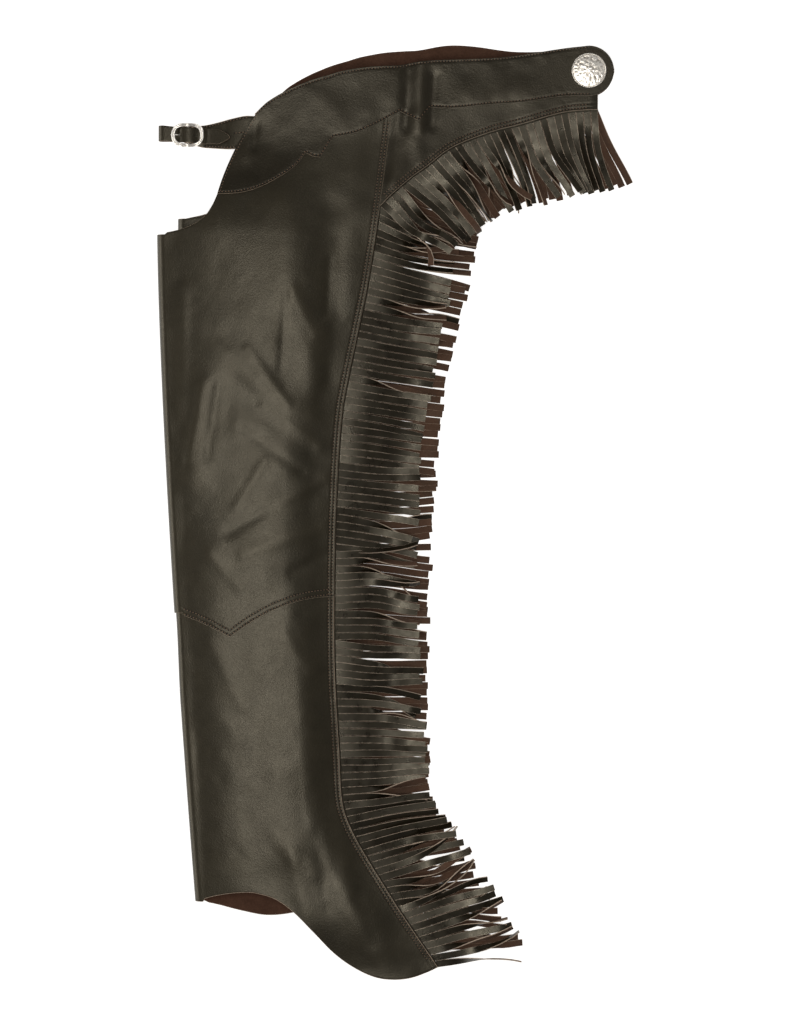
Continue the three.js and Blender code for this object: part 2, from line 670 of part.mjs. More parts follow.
// Zip that closes a leg along the outer seam, hidden under the fringe
function zip(half) {
  const outer = COLUMNS.slice(SEAM_LAP_COLUMN, SEAM_COLUMN + 1).map((c) => columnPoints(half, c));
  const foldLine = columnPoints(half, COLUMNS[0]).map((point) => point && point[1]);
  const lines = range(lineOf(half, "hip edge"), outer[0].length - 1);
  const knee = lineOf(half, "knee lap");
  const inner = INNER_COLUMNS.slice(-2);
  const face = (side) =>
    lines.map((i) =>
      inner.map((column, k) => {
        const y = innerLineY(half, foldLine, i, column);
        const at = [planX(column.across, y), y];
        const low = innerPoint(half, at, i < knee ? 1 : 0, 0)[2] + half.out * CLEARANCE;
        return [...half.plan(...at), low + half.out * side * ZIP_THICKNESS];
      }),
    );
  return wall(face(1), face(0));
}

// Front straps. The right half's billet runs forward over the surface, turns up and back
// and is buckled to the left half's tab.
const billetBottom = RIGHT.outer(0, STRAP_Y) - 2 * PLY - LEATHER / 2 + STRAP_SLACK;
const billetTop = billetBottom + 2 * STRAP_FOLD_RADIUS;
const barHeight = billetTop - BUCKLE_BAR_DROP;
const frameHeight = billetTop + LEATHER / 2 + CLEARANCE + BUCKLE_THICKNESS / 2;
const overBar = barHeight + BUCKLE_BAR_RADIUS + 3 * CLEARANCE + 1.5 * LEATHER;
const strapY = (x) => STRAP_Y + STRAP_TILT * x;
const buckleX = (share) => BUCKLE_X + (share * BUCKLE_LENGTH) / 2;

function yokeFrontX(half, y) {
  const ownY = y - half.plan(0, y)[1] + y;
  const points = columnPoints(half, COLUMNS[FIRST_YOKE_COLUMN]);
  const next = Math.max(1, points.findIndex((point) => point[1] < ownY));
  const [a, b] = [points[next - 1], points[next]];
  return half.plan(mix(a[0], b[0], (ownY - a[1]) / (b[1] - a[1])), ownY)[0];
}

// A strap along a line of rows. Each row has two side points, on the strap's middle layer.
function strap(rows) {
  const middle = rows.map(([p, q]) => new THREE.Vector2((p[0] + q[0]) / 2, (p[2] + q[2]) / 2));
  const normals = middle.map((_, i) => {
    const ahead = middle[Math.min(i + 1, middle.length - 1)];
    const way = ahead.clone().sub(middle[Math.max(i - 1, 0)]).normalize();
    return new THREE.Vector2(-way.y, way.x);
  });
  const face = (by) =>
    rows.map((row, i) =>
      row.map(([x, y, z]) => [x + normals[i].x * by, y, z + normals[i].y * by]),
    );
  return solid(wall(face(LEATHER / 2), face(-LEATHER / 2)));
}
const strapRow = (x, z, width = STRAP_WIDTH, y = strapY(x)) => [
  [x, y - width / 2, z],
  [x, y + width / 2, z],
];

function billet() {
  const rows = [];
  const yokeX = yokeFrontX(RIGHT, STRAP_Y);
  rows.push(strapRow(yokeX + SEAM_LAP, billetBottom, STRAP_WIDTH, STRAP_Y));
  rows.push(strapRow(yokeX - SEAM_LAP, billetBottom, STRAP_WIDTH, STRAP_Y));
  for (let i = 0; i <= FOLD_STEPS + 2; i++) {
    const turn = Math.PI * (-0.5 + i / (FOLD_STEPS + 2));
    const x = BILLET_FRONT_X + STRAP_FOLD_RADIUS * (1 - Math.cos(turn));
    const z = billetBottom + STRAP_FOLD_RADIUS * (1 + Math.sin(turn));
    rows.push(strapRow(x, z, STRAP_WIDTH, STRAP_Y));
  }
  for (const share of [-1, -0.6, -0.33, -0.16, 0, 0.16, 0.33, 0.6, 1])
    rows.push(strapRow(buckleX(share), mix(overBar, billetTop, billetDip(Math.abs(share)))));
  for (const along of [0.3, 0.55, 0.8]) {
    const x = mix(buckleX(1), BILLET_TIP_X, along);
    rows.push(strapRow(x, tabHeight(x) + PLY + CLEARANCE, STRAP_WIDTH - 2));
  }
  const tip = tabHeight(BILLET_TIP_X) + PLY + CLEARANCE;
  rows.push(strapRow(BILLET_TIP_X, tip, STRAP_WIDTH / 5));
  return rows;
}
const billetDip = (share) => (share >= 0.6 ? 1 : 1 - Math.cos((share / 0.6) * (Math.PI / 2)) ** 0.9);

// The tab climbs in a straight line from under the frame to under the left yoke
function tabHeight(x) {
  const low = billetTop - PLY;
  const yokeX = yokeFrontX(LEFT, STRAP_Y) - SEAM_LAP;
  const high = outerPoint(LEFT, [yokeX, STRAP_Y], 2, 0.5)[2] - STRAP_SLACK;
  return mix(low, high, clamp01((x - buckleX(1)) / (yokeX - buckleX(1))));
}

function tab() {
  const rows = [];
  for (const past of [SEAM_LAP, -SEAM_LAP / 3]) {
    const sides = [-0.5, 0.5].map((side) => {
      const y = STRAP_Y + side * TAB_WIDTH;
      const x = yokeFrontX(LEFT, y) + past;
      return [x, y, outerPoint(LEFT, [x, y], 2, 0.5)[2] - STRAP_SLACK];
    });
    rows.push(sides);
  }
  const middle = mix(buckleX(1), yokeFrontX(LEFT, STRAP_Y), 0.4);
  rows.push(strapRow(middle, tabHeight(middle), mix(STRAP_WIDTH, TAB_WIDTH, 0.7)));
  rows.push(strapRow(buckleX(1), billetTop - PLY, mix(STRAP_WIDTH, TAB_WIDTH, 0.45)));
  rows.push(strapRow(buckleX(0.6), billetTop - PLY, mix(STRAP_WIDTH, TAB_WIDTH, 0.3)));
  const reach = BUCKLE_BAR_RADIUS + CLEARANCE + LEATHER / 2;
  for (let i = 0; i <= FOLD_STEPS; i++) {
    const turn = Math.PI * (-0.5 - i / FOLD_STEPS);
    rows.push(strapRow(BUCKLE_X + reach * Math.cos(turn), barHeight + reach * Math.sin(turn)));
  }
  rows.push(strapRow(buckleX(0.16), barHeight + 0.85 * reach));
  rows.push(strapRow(buckleX(0.3), barHeight + 0.5 * reach));
  return rows;
}

// A buckle with a squared oval frame, whose bar hangs lower than its two ends
function buckleFrame() {
  const frame = new THREE.TorusGeometry(10, 1, 6, 24);
  const at = frame.attributes.position;
  const [long, wide] = [(BUCKLE_LENGTH - BUCKLE_BAND) / 2, (BUCKLE_WIDTH - BUCKLE_BAND) / 2];
  const squared = (value) => Math.sign(value) * Math.abs(value) ** (2 / BUCKLE_SQUARENESS);
  for (let i = 0; i < at.count; i++) {
    const round = Math.atan2(at.getY(i), at.getX(i));
    const outward = (Math.hypot(at.getX(i), at.getY(i)) - 10) * (BUCKLE_BAND / 2);
    const [x, y] = [squared(Math.cos(round)), squared(Math.sin(round))];
    const power = BUCKLE_SQUARENESS - 1;
    const normal = new THREE.Vector2(
      (Math.sign(x) * Math.abs(x) ** power) / long,
      (Math.sign(y) * Math.abs(y) ** power) / wide,
    ).normalize();
    const centre = mix(barHeight, frameHeight, ease((Math.abs(x) - 0.15) / 0.4));
    at.setXYZ(
      i,
      BUCKLE_X + x * long + normal.x * outward,
      strapY(BUCKLE_X) + y * wide + normal.y * outward,
      centre + (at.getZ(i) * BUCKLE_THICKNESS) / 2,
    );
  }
  const bar = new THREE.CylinderGeometry(BUCKLE_BAR_RADIUS, BUCKLE_BAR_RADIUS, 2 * wide, 12);
  bar.translate(BUCKLE_X, strapY(BUCKLE_X), barHeight);
  return solid(frame).add(solid(bar));
}

// The tongue hinges on the bar, comes up through the billet and rests on the frame's end
function tongue(grow) {
  const onFrame = frameHeight + BUCKLE_THICKNESS / 2 + CLEARANCE + TONGUE_RADIUS;
  const points = [
    [-0.1, barHeight + 0.3 * TONGUE_RADIUS],
    [-0.3, barHeight + 0.9 * TONGUE_RADIUS],
    [-0.43, billetTop + 0.45 * TONGUE_RADIUS],
    [-0.66, mix(billetTop, onFrame, 0.8)],
    [-0.8, onFrame],
    [-1.02, onFrame],
  ].map(([share, z]) => new THREE.Vector3(buckleX(share), strapY(BUCKLE_X), z));
  const path = new THREE.CatmullRomCurve3(points);
  const round = new THREE.Shape().absarc(0, 0, TONGUE_RADIUS + grow, 0, 2 * Math.PI);
  const shank = new THREE.ExtrudeGeometry(round, { steps: 10, curveSegments: 4, extrudePath: path });
  return solid(shank);
}
function tongueWithEye() {
  const eyeRadius = BUCKLE_BAR_RADIUS + CLEARANCE;
  const eye = [eyeRadius + TONGUE_RADIUS, eyeRadius].map((radius, i) => {
    const made = new THREE.CylinderGeometry(radius, radius, TONGUE_WIDTH + i, 12);
    made.translate(BUCKLE_X, strapY(BUCKLE_X), barHeight);
    return solid(made);
  });
  return tongue(0).add(eye[0]).subtract(eye[1]);
}

function punched(made) {
  const x = PUNCHED_HOLE_X;
  const [low, high] = [barHeight, overBar + 2 * PLY];
  return made.subtract(solid(cylinder(PUNCHED_HOLE_RADIUS, low, high, x, strapY(x), SCREW_SIDES)));
}
function slotted(made) {
  const high = 2 * (overBar - barHeight);
  const slot = new THREE.BoxGeometry(0.42 * BUCKLE_LENGTH, TONGUE_WIDTH + 2 * CLEARANCE, high);
  slot.translate(buckleX(-0.2), strapY(BUCKLE_X), barHeight);
  return made.subtract(solid(slot));
}

// Concho: a domed disc with a ring of petals, on a screw that clamps both yokes
function concho() {
  const base = yokeFace + CLEARANCE;
  const socket = SCREW_RADIUS + CLEARANCE;
  const profile = [
    [0, CONCHO_RIM],
    [socket, CONCHO_RIM],
    [socket, 0],
    [CONCHO_RADIUS, 0],
    [CONCHO_RADIUS, 0.7 * CONCHO_RIM],
    [0.95 * CONCHO_RADIUS, CONCHO_RIM],
    [0.86 * CONCHO_RADIUS, CONCHO_RIM],
    [0.82 * CONCHO_RADIUS, 0.6 * CONCHO_RIM],
    [0.6 * CONCHO_RADIUS, CONCHO_RIM],
    [0.4 * CONCHO_RADIUS, 0.65 * CONCHO_DOME],
    [0.36 * CONCHO_RADIUS, 0.6 * CONCHO_DOME],
    [0.24 * CONCHO_RADIUS, 0.93 * CONCHO_DOME],
    [0, CONCHO_DOME],
  ].map(([radius, height]) => new THREE.Vector2(radius, height));
  const disc = new THREE.LatheGeometry(profile, 2 * CONCHO_PETALS);
  const at = disc.attributes.position;
  for (let i = 0; i < at.count; i++) {
    const radius = Math.hypot(at.getX(i), at.getZ(i)) / CONCHO_RADIUS;
    if (radius < 0.38 || radius > 0.7 || at.getY(i) < CONCHO_RELIEF) continue;
    const petal = Math.cos(Math.atan2(at.getZ(i), at.getX(i)) * CONCHO_PETALS);
    at.setY(i, at.getY(i) + CONCHO_RELIEF * petal);
  }
  disc.rotateX(Math.PI / 2);
  disc.translate(CONCHO_X, CONCHO_Y, base);
  return solid(disc);
}
function screw() {
  const top = yokeFace + CONCHO_RIM; // the socket is one clearance deeper
  const cap = yokeUnderside - CLEARANCE;
  const post = solid(cylinder(SCREW_RADIUS, cap - CLEARANCE, top, CONCHO_X, CONCHO_Y, SCREW_SIDES));
  const low = cap - SCREW_CAP_THICKNESS;
  return post.add(solid(cylinder(SCREW_CAP_RADIUS, low, cap, CONCHO_X, CONCHO_Y, 20)));
}

const chaps = new THREE.Group();
const leatherLook = new THREE.MeshStandardMaterial({ color: 0x3a3428, roughness: 0.5 });
const suedeLook = new THREE.MeshStandardMaterial({ color: 0x4a3024, roughness: 0.95 });
const nickelLook = new THREE.MeshStandardMaterial({ color: 0xc9c4bb, roughness: 0.3, metalness: 1 });

function add(name, geometry, material) {
  const mesh = new THREE.Mesh(geometry, material.clone());
  mesh.name = name;
  chaps.add(mesh);
}

for (const half of [LEFT, RIGHT]) {
  add(half.name + "_thigh_panel", legPanel(half, "yoke lap", "knee", 2, 1), leatherLook);
  add(half.name + "_shin_panel", legPanel(half, "knee lap", "hem", 1, 0), leatherLook);
  add(half.name + "_yoke", yoke(half), leatherLook);
  add(half.name + "_hip_panel", hipPanel(half), leatherLook);
  add(half.name + "_fringe", fringe(half), leatherLook);
  add(half.name + "_side_zip", zip(half), suedeLook);
}
const tabLeather = strap(tab());
const billetLeather = punched(strap(billet())).subtract(tongue(CLEARANCE));
const seatedBillet = billetLeather.subtract(tabLeather.translate(0, 0, CLEARANCE));
add("billet_strap", geometryOf(seatedBillet), leatherLook);
add("buckle_tab", geometryOf(slotted(tabLeather)), leatherLook);
add("buckle_frame", geometryOf(buckleFrame()), nickelLook);
add("buckle_tongue", geometryOf(tongueWithEye()), nickelLook);
add("concho", geometryOf(concho()), nickelLook);
add("concho_screw", geometryOf(screw()), nickelLook);

// The origin is on the surface under the middle of the box
const box = new THREE.Box3().setFromObject(chaps, true);
const centre = box.getCenter(new THREE.Vector3());
chaps.position.set(-centre.x, -centre.y, -box.min.z);

export default chaps;
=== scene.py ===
"""Western show chaps for a rider, lying folded flat on their right side.

Each leather piece is a fine sheet laid over the plan of its half, with its real thickness,
its grain side outwards and its suede side towards the leg. Plan sizes are in millimetres
and are drawn from the crotch corner of the left leg's fold, as in the part's own source.
"""

import math

import bmesh
import bpy
import numpy as np
from mathutils import Matrix, Vector


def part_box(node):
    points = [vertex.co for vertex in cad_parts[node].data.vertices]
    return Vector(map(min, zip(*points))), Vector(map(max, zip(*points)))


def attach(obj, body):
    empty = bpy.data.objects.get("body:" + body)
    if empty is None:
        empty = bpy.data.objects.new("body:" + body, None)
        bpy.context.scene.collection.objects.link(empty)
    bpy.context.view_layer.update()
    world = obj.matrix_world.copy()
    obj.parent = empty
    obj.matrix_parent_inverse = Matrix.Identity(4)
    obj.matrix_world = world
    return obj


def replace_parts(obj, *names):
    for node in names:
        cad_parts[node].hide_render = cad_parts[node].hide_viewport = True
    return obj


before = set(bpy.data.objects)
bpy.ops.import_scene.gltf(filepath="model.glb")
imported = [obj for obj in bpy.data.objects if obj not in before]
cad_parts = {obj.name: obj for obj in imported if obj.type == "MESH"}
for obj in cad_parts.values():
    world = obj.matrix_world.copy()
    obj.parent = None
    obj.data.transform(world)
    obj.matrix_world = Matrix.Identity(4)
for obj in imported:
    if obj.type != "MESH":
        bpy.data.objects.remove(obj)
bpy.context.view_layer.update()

# Driving sizes of the plan, in millimetres
CROTCH_TO_HEM = 735
THIGH_WIDTH = 245
FOLD_LEAN = 42
HIP_DEPTH = 505
WAIST_RISE = 211
YOKE_END_RADIUS = 27.7
SLIDE_BACK = 22
SLIDE_UP = 19
SLIDE_BACK_AT_HEM = 9
CONCHO_X = HIP_DEPTH - YOKE_END_RADIUS
CONCHO_Y = WAIST_RISE - YOKE_END_RADIUS

# Leather and how it is laid
LEATHER = 1.5
CLEARANCE = 0.35
PLY = LEATHER + CLEARANCE
SEAM_LAP = 12
FOLD_REACH = 9
AIR_LEFT = 12
AIR_RIGHT = 9
LEGS_APART = 0.8
WAIST_SAG = 0.42
HEEL_SAG = 0.5
REAR_CLOSE = 3.2
REAR_FLAT = 1.9
SCREW_CAP_THICKNESS = 1.6
FULLNESS = 4.2  # how much further the near leg's middle stands than its fold
FINE = 2.6  # spacing of a near panel's mesh
COARSE = 4.2  # and of one that is mostly hidden
FOLD_STEPS = 12
CUT_BEVEL = 0.6
CRISP = math.radians(40)  # edges that turn further than this stay sharp

# Rows of stitching, as distances from the sewn edge, and the mesh beside them
SEAM_ROWS = (2.6, 6.4)
KNEE_ROWS = (2.0, 7.6)
HIP_ROWS = (2.4, 6.0)
YOKE_ROW = 2.0
NEAR_SEAM = np.array([0, 0.9, 1.8, 2.6, 3.4, 4.4, 5.5, 6.4, 7.3, 8.6, 10.4, 13])
LAP_ROWS = 5
KNEE_TAIL = 12  # how far the thigh leather laps over the shin leather
STITCH_LENGTH = 2.1
STITCH_PITCH = 3.5
STITCH_RADIUS = 0.46
STITCH_DIP = 0.34  # how far a row pulls the leather down
STITCH_BATCH = 40  # stitches are made a few at a time, which is quicker
# the size of the dark disc at each awl hole, which is painted shade of the hole
HOLE_RADIUS = 0.85

# Fringe
FRINGE_LENGTH = 92
FRINGE_PITCH = 8.2
FRINGE_STRIP_THICKNESS = 1.1
FRINGE_OUTSET = 1.6
FRINGE_DROOP = 26
FRINGE_TUCK = 1.2  # how far a strip's root reaches back into its band
BAND_STEP = 4.0
STRIP_STEPS = 12
PILE_STEPS = 5  # the pile is read and marked this often along each step of a strip
STRIP_MARKS = (-0.3, -0.15, 0, 0.15, 0.3)  # and at these shares of its width

# Straps and buckle
STRAP_WIDTH = 17
TAB_WIDTH = 0.17 * WAIST_RISE
STRAP_Y = 0.54 * WAIST_RISE
STRAP_TILT = -0.07
STRAP_FOLD_RADIUS = 5
STRAP_SLACK = 0.6
STRAP_COLUMNS = 9
STRAP_STEP = 1.4
STRAP_ROW_INSET = 2.2
BILLET_FRONT_X = 1
BILLET_TIP_X = 80
BUCKLE_X = 33
BUCKLE_LENGTH = 36
BUCKLE_WIDTH = 27
BUCKLE_BAND = 4.2
BUCKLE_THICKNESS = 2.6
BUCKLE_SQUARENESS = 2.7
BUCKLE_BAR_RADIUS = 1.1
BUCKLE_BAR_DROP = 1
RING_OVER_BAR = 1.7
RING_STEPS = 96
TUBE_SIDES = 12
TONGUE_RADIUS = 0.9
TONGUE_STEP = 0.7
PUNCHED_HOLE_RADIUS = 1.9
PUNCHED_HOLE_X = 42

# Concho
CONCHO_RADIUS = 19.05
CONCHO_RIM = 1.5
CONCHO_DOME = 3
CONCHO_FACE = 0.93  # the share of the radius that the relief fills
CONCHO_BEADS = 56

# Smooth curves of the plan, as (place, value) pairs in shares of the driving sizes
SEAM = [
    (-0.2, 1.0625), (-0.037, 1.0), (0.081, 0.944), (0.188, 0.877), (0.27, 0.832),
    (0.42, 0.804), (0.56, 0.797), (0.66, 0.8), (0.78, 0.82), (0.851, 0.833),
    (0.889, 0.869), (0.934, 0.942), (0.982, 1.031), (1.029, 1.12), (1.1016, 1.266),
]
CROTCH = [
    (0, 0), (0.117, 0.028), (0.174, 0.055), (0.215, 0.09), (0.23, 0.11), (0.246, 0.142),
    (0.262, 0.182), (0.271, 0.212),
]
YOKE_TOP_ACROSS = [
    (0.271, 0.422), (0.363, 0.46), (0.44, 0.505), (0.529, 0.56), (0.609, 0.62),
    (0.646, 0.66), (0.712, 0.713), (0.757, 0.76), (0.859, 0.86), (0.951, 0.951),
    (1, 1), (2, 2),
]
YOKE_TOP = [
    (0.271, 0.634), (0.363, 0.688), (0.44, 0.727), (0.529, 0.765), (0.609, 0.798),
    (0.646, 0.817), (0.712, 0.836), (0.757, 0.855), (0.859, 0.879), (0.951, 0.888),
    (1, 0.891), (1.141, 0.916), (1.313, 0.925), (1.498, 0.933), (1.663, 0.953),
    (1.867, 0.985), (2, 1),
]
# The yoke's lower edge is a run of smooth curves that meet in corners
YOKE_LOW = [
    [(0.271, 0.212), (0.363, 0.217), (0.44, 0.24), (0.529, 0.294), (0.609, 0.366), (0.646, 0.432)],
    [(0.646, 0.432), (0.68, 0.413), (0.712, 0.407)],
    [(0.712, 0.407), (0.732, 0.458), (0.757, 0.513)],
    [(0.757, 0.513), (0.859, 0.539), (0.951, 0.593), (1, 0.627), (1.04, 0.653)],
    [(1.04, 0.653), (1.141, 0.602)],
    [(1.141, 0.602), (1.191, 0.675)],
    [(1.191, 0.675), (1.313, 0.671), (1.498, 0.69), (1.663, 0.703), (1.867, 0.735), (2, 0.7374)],
]
HIP_EDGE = [
    (0.951, 0.105), (1, 0.152), (1.04, 0.205), (1.141, 0.312), (1.191, 0.353),
    (1.313, 0.46), (1.498, 0.543), (1.663, 0.59), (1.867, 0.65), (2, 0.665),
]
HEM = [
    (0, 1), (0.12, 0.99), (0.27, 0.985), (0.346, 0.988), (0.42, 0.997), (0.486, 1.017),
    (0.54, 1.046), (0.585, 1.0755), (0.64, 1.098), (0.71, 1.114), (0.78, 1.1185),
    (0.86, 1.1165), (0.94, 1.109), (1, 1.1016),
]
INNER_TOP = [
    (0, 0), (0.1, 0.012), (0.22, 0.025), (0.346, 0.035), (0.5, 0.043), (0.72, 0.05), (1, 0.06),
]
INNER_HEM = [
    (0, 1), (0.1, 1.0055), (0.22, 1.015), (0.346, 1.022), (0.5, 1.0165), (0.72, 0.998),
    (0.951, 0.979), (1, 0.975),
]
HOLLOW = [(0, 0.8), (0.14, 0.97), (0.3, 1), (0.5, 0.95), (0.7, 0.72), (0.87, 0.5), (1, 0.32)]
HIP_FRINGE_TURN = [(0, -64), (0.3, -68), (0.6, -62), (0.85, -45), (1, -32)]
LEG_FRINGE_TURN = [(0, -26), (0.08, -13), (0.3, -7), (0.6, -3), (0.8, 2), (0.9, 7), (1, 2)]
REAR_HANG = 20  # the near strips at the rear hang straighter, in degrees
HEEL_LIFT = [(0, 0), (0.7, 0), (0.82, 8), (0.95, 9), (1, 5)]  # and those at the heel point up
YOKE_FRONT = 0.271
YOKE_FRONT_BOW = 4.5
YOKE_LAP_FROM = 0.276  # the thigh panel runs under the yoke from just behind its front edge
HIP_FRONT = 0.951
HIP_SPAN = 235  # from the outer seam to the concho
HIP_EDGE_SLANT = 0.85  # the hip panel's columns meet its lower edge aslant
HIP_REAR_X = CONCHO_X + 10
KNEE_AT_FOLD = 0.567
KNEE_POINT = (0.346, 0.603)
KNEE_AT_SEAM = 0.5425

# Main folds of the left half: from x, y to x, y, width and height, in millimetres
FOLDS = [
    (96, -5, 118, -118, 30, 1.6),
    (140, 30, 146, -60, 22, 2.6),
    (190, 24, 194, -70, 22, -3.2),
    (150, -80, 178, -160, 15, 1.6),
    (200, -90, 184, -180, 16, -1.3),
    (181, -110, 167, -220, 16, 1.3),
    (70, -128, 147, -192, 14, 1.4),
    (88, -160, 130, -205, 12, -0.9),
    (59, -162, 36, -265, 16, 1.5),
    (76, -175, 62, -300, 16, -1.1),
    (122, -250, 113, -368, 24, 1.2),
    (170, -225, 176, -320, 18, -1),
    (60, -350, 190, -310, 18, 1),
    (150, -430, 152, -640, 34, 1.2),
    (40, -450, 44, -640, 24, -1),
    (150, -676, 172, -700, 15, 1.4),
    (128, -706, 150, -745, 13, -0.8),
    (205, -720, 240, -790, 16, 1.1),
    (262, 40, 300, 110, 15, -1.6),
    (225, 70, 240, 130, 18, 1.6),
]
# Smaller folds and creases of the soft leather, in the same order
CREASES = [
    (143, -63, 137, -147, 4, -0.6),
    (101, -126, 145, -187, 5, 0.9),
    (51, -165, 36, -248, 6, 0.8),
    (69, -161, 56, -245, 6, -0.9),
    (118, -190, 178, -232, 7, 0.9),
    (96, -214, 160, -262, 6, -0.8),
    (128, -300, 186, -268, 7, 0.9),
    (88, -300, 118, -252, 6, 0.8),
    (78, -330, 128, -300, 6, -0.8),
    (96, -352, 182, -322, 8, 1),
    (60, -352, 92, -388, 7, 0.7),
    (150, -372, 190, -350, 6, -0.7),
    (150, -60, 176, -110, 6, 0.9),
    (190, -30, 186, -90, 5, -0.9),
    (30, -60, 26, -200, 8, 0.8),
    (30, -470, 26, -640, 9, 0.6),
    (60, -450, 96, -520, 9, 0.6),
    (140, -440, 172, -480, 8, 0.7),
    (196, -640, 214, -720, 9, 0.8),
    (176, -660, 190, -740, 8, -0.8),
    (150, -680, 168, -764, 9, 0.7),
    (214, -700, 240, -780, 8, -0.6),
    (130, -660, 150, -690, 10, 0.7),
    (274, 120, 277, 196, 6, -1.3),
    (290, 118, 291, 190, 7, 1.6),
    (303, 122, 306, 176, 6, -1.2),
    (262, 60, 285, 130, 9, 1.2),
    (286, 104, 290, 84, 8, 1),
    (106, 96, 109, 120, 5, -1),
    (99, 88, 103, 104, 8, 0.8),
    (180, 150, 205, 120, 14, 0.8),
    (340, 150, 400, 160, 16, 0.9),
]


def mix(a, b, share):
    return a + (b - a) * share


def clamp01(value):
    return np.clip(value, 0, 1)


def ease(value):
    t = clamp01(value)
    return t * t * (3 - 2 * t)


def unit(rows):
    return rows / np.linalg.norm(rows, axis=1)[:, None]


def running_length(points):
    """The length of a line of points up to each of them."""
    steps = np.linalg.norm(np.diff(points, axis=0), axis=1)
    return np.concatenate([[0], np.cumsum(steps)])


def spaced(first, last, length, step):
    return np.linspace(first, last, max(2, int(math.ceil(length / step)) + 1))


def curve(table, at):
    """Reads a smooth curve through (place, value) pairs."""
    keys, values = np.array(table, float).T
    spot = np.arange(len(keys))
    before, after = np.maximum(spot - 1, 0), np.minimum(spot + 1, len(keys) - 1)
    slopes = (values[after] - values[before]) / (keys[after] - keys[before])
    at = np.asarray(at, float)
    b = np.clip(np.searchsorted(keys, at, side="right"), 1, len(keys) - 1)
    a = b - 1
    span = keys[b] - keys[a]
    s = (at - keys[a]) / span
    secant = (values[b] - values[a]) / span
    pull = (1 - s) * (slopes[a] - secant) - s * (slopes[b] - secant)
    found = mix(values[a], values[b], s) + s * (1 - s) * span * pull
    found = np.where(at < keys[0], values[0] + slopes[0] * (at - keys[0]), found)
    return np.where(at > keys[-1], values[-1] + slopes[-1] * (at - keys[-1]), found)


def hills(x, y, size, seed):
    """Smooth random hills and hollows from -1 to 1, about size across."""
    heights = np.random.default_rng(seed).uniform(-1, 1, (64, 64))
    u, v = np.asarray(x) / size + 200, np.asarray(y) / size + 200
    i, j = np.floor(u).astype(int), np.floor(v).astype(int)
    s, t = ease(u - i), ease(v - j)

    def corner(di, dj):
        return heights[(i + di) % 64, (j + dj) % 64]

    return mix(mix(corner(0, 0), corner(1, 0), s), mix(corner(0, 1), corner(1, 1), s), t)


# Plan and heights of a half
def fold_x(y):
    return FOLD_LEAN * np.maximum(0, -np.asarray(y, float) / CROTCH_TO_HEM) ** 1.4


def seam_x(y):
    return THIGH_WIDTH * curve(SEAM, -np.asarray(y, float) / CROTCH_TO_HEM)


def plan_x(across, y):
    """The x at a share across: 0 the front fold, 1 the outer seam, 2 the concho."""
    on_leg = mix(fold_x(y), seam_x(y), across)
    behind = mix(seam_x(y), CONCHO_X, np.asarray(across) - 1)
    return np.where(np.asarray(across) <= 1, on_leg, behind)


def across_of(x, y):
    front, seam = fold_x(y), seam_x(y)
    on_leg = clamp01((x - front) / (seam - front))
    behind = 1 + clamp01((x - seam) / (CONCHO_X - seam))
    return np.where(x <= seam, on_leg, behind)


def slide(x, y):
    """How far behind and above the left half the right one lies."""
    from_rear = 1 - ease((x - 0.58 * HIP_DEPTH) / (0.32 * HIP_DEPTH))
    back = mix(SLIDE_BACK, SLIDE_BACK_AT_HEM, clamp01(-y / CROTCH_TO_HEM))
    return back * from_rear, SLIDE_UP * from_rear


def outer_levels(y):
    """How many layers of leather lie between the right half's hollow and the floor."""
    upper = ease((y + 0.72 * CROTCH_TO_HEM) / (0.09 * CROTCH_TO_HEM))
    waist = ease((y + 0.06 * CROTCH_TO_HEM) / (0.085 * CROTCH_TO_HEM))
    return 1 + upper + waist


def hollow(across):
    return curve(HOLLOW, np.minimum(1, across))


def right_outer(x, y):
    screw_lift = (SCREW_CAP_THICKNESS + CLEARANCE) * ease((across_of(x, y) - 1.5) / 0.3)
    return LEATHER + PLY * outer_levels(y) + screw_lift


def right_inner(x, y):
    return right_outer(x, y) + AIR_RIGHT * hollow(across_of(x, y))


def under_left(x, y):
    back, up = slide(x, y)
    return x - back, y - up


def left_inner(x, y):
    return right_inner(*under_left(x, y)) + 2 * (PLY + LEATHER) + LEGS_APART


def lines_of(folds, x, y):
    """Height of a list of folds, each a soft ridge or hollow along a line."""
    rise = 0 * x
    for from_x, from_y, to_x, to_y, width, height in folds:
        along_x, along_y = to_x - from_x, to_y - from_y
        share = (x - from_x) * along_x + (y - from_y) * along_y
        share = clamp01(share / (along_x**2 + along_y**2))
        apart = np.hypot(x - from_x - share * along_x, y - from_y - share * along_y)
        rise = rise + height * np.exp(-((apart / width) ** 2))
    return rise


def softness(x, y):
    """Creases and unevenness of the left half's outer side."""
    rolling = 0.9 * hills(x, y, 52, 3) + 0.42 * hills(x, y, 23, 4) + 0.12 * hills(x, y, 10, 5)
    return lines_of(CREASES, x, y) + rolling


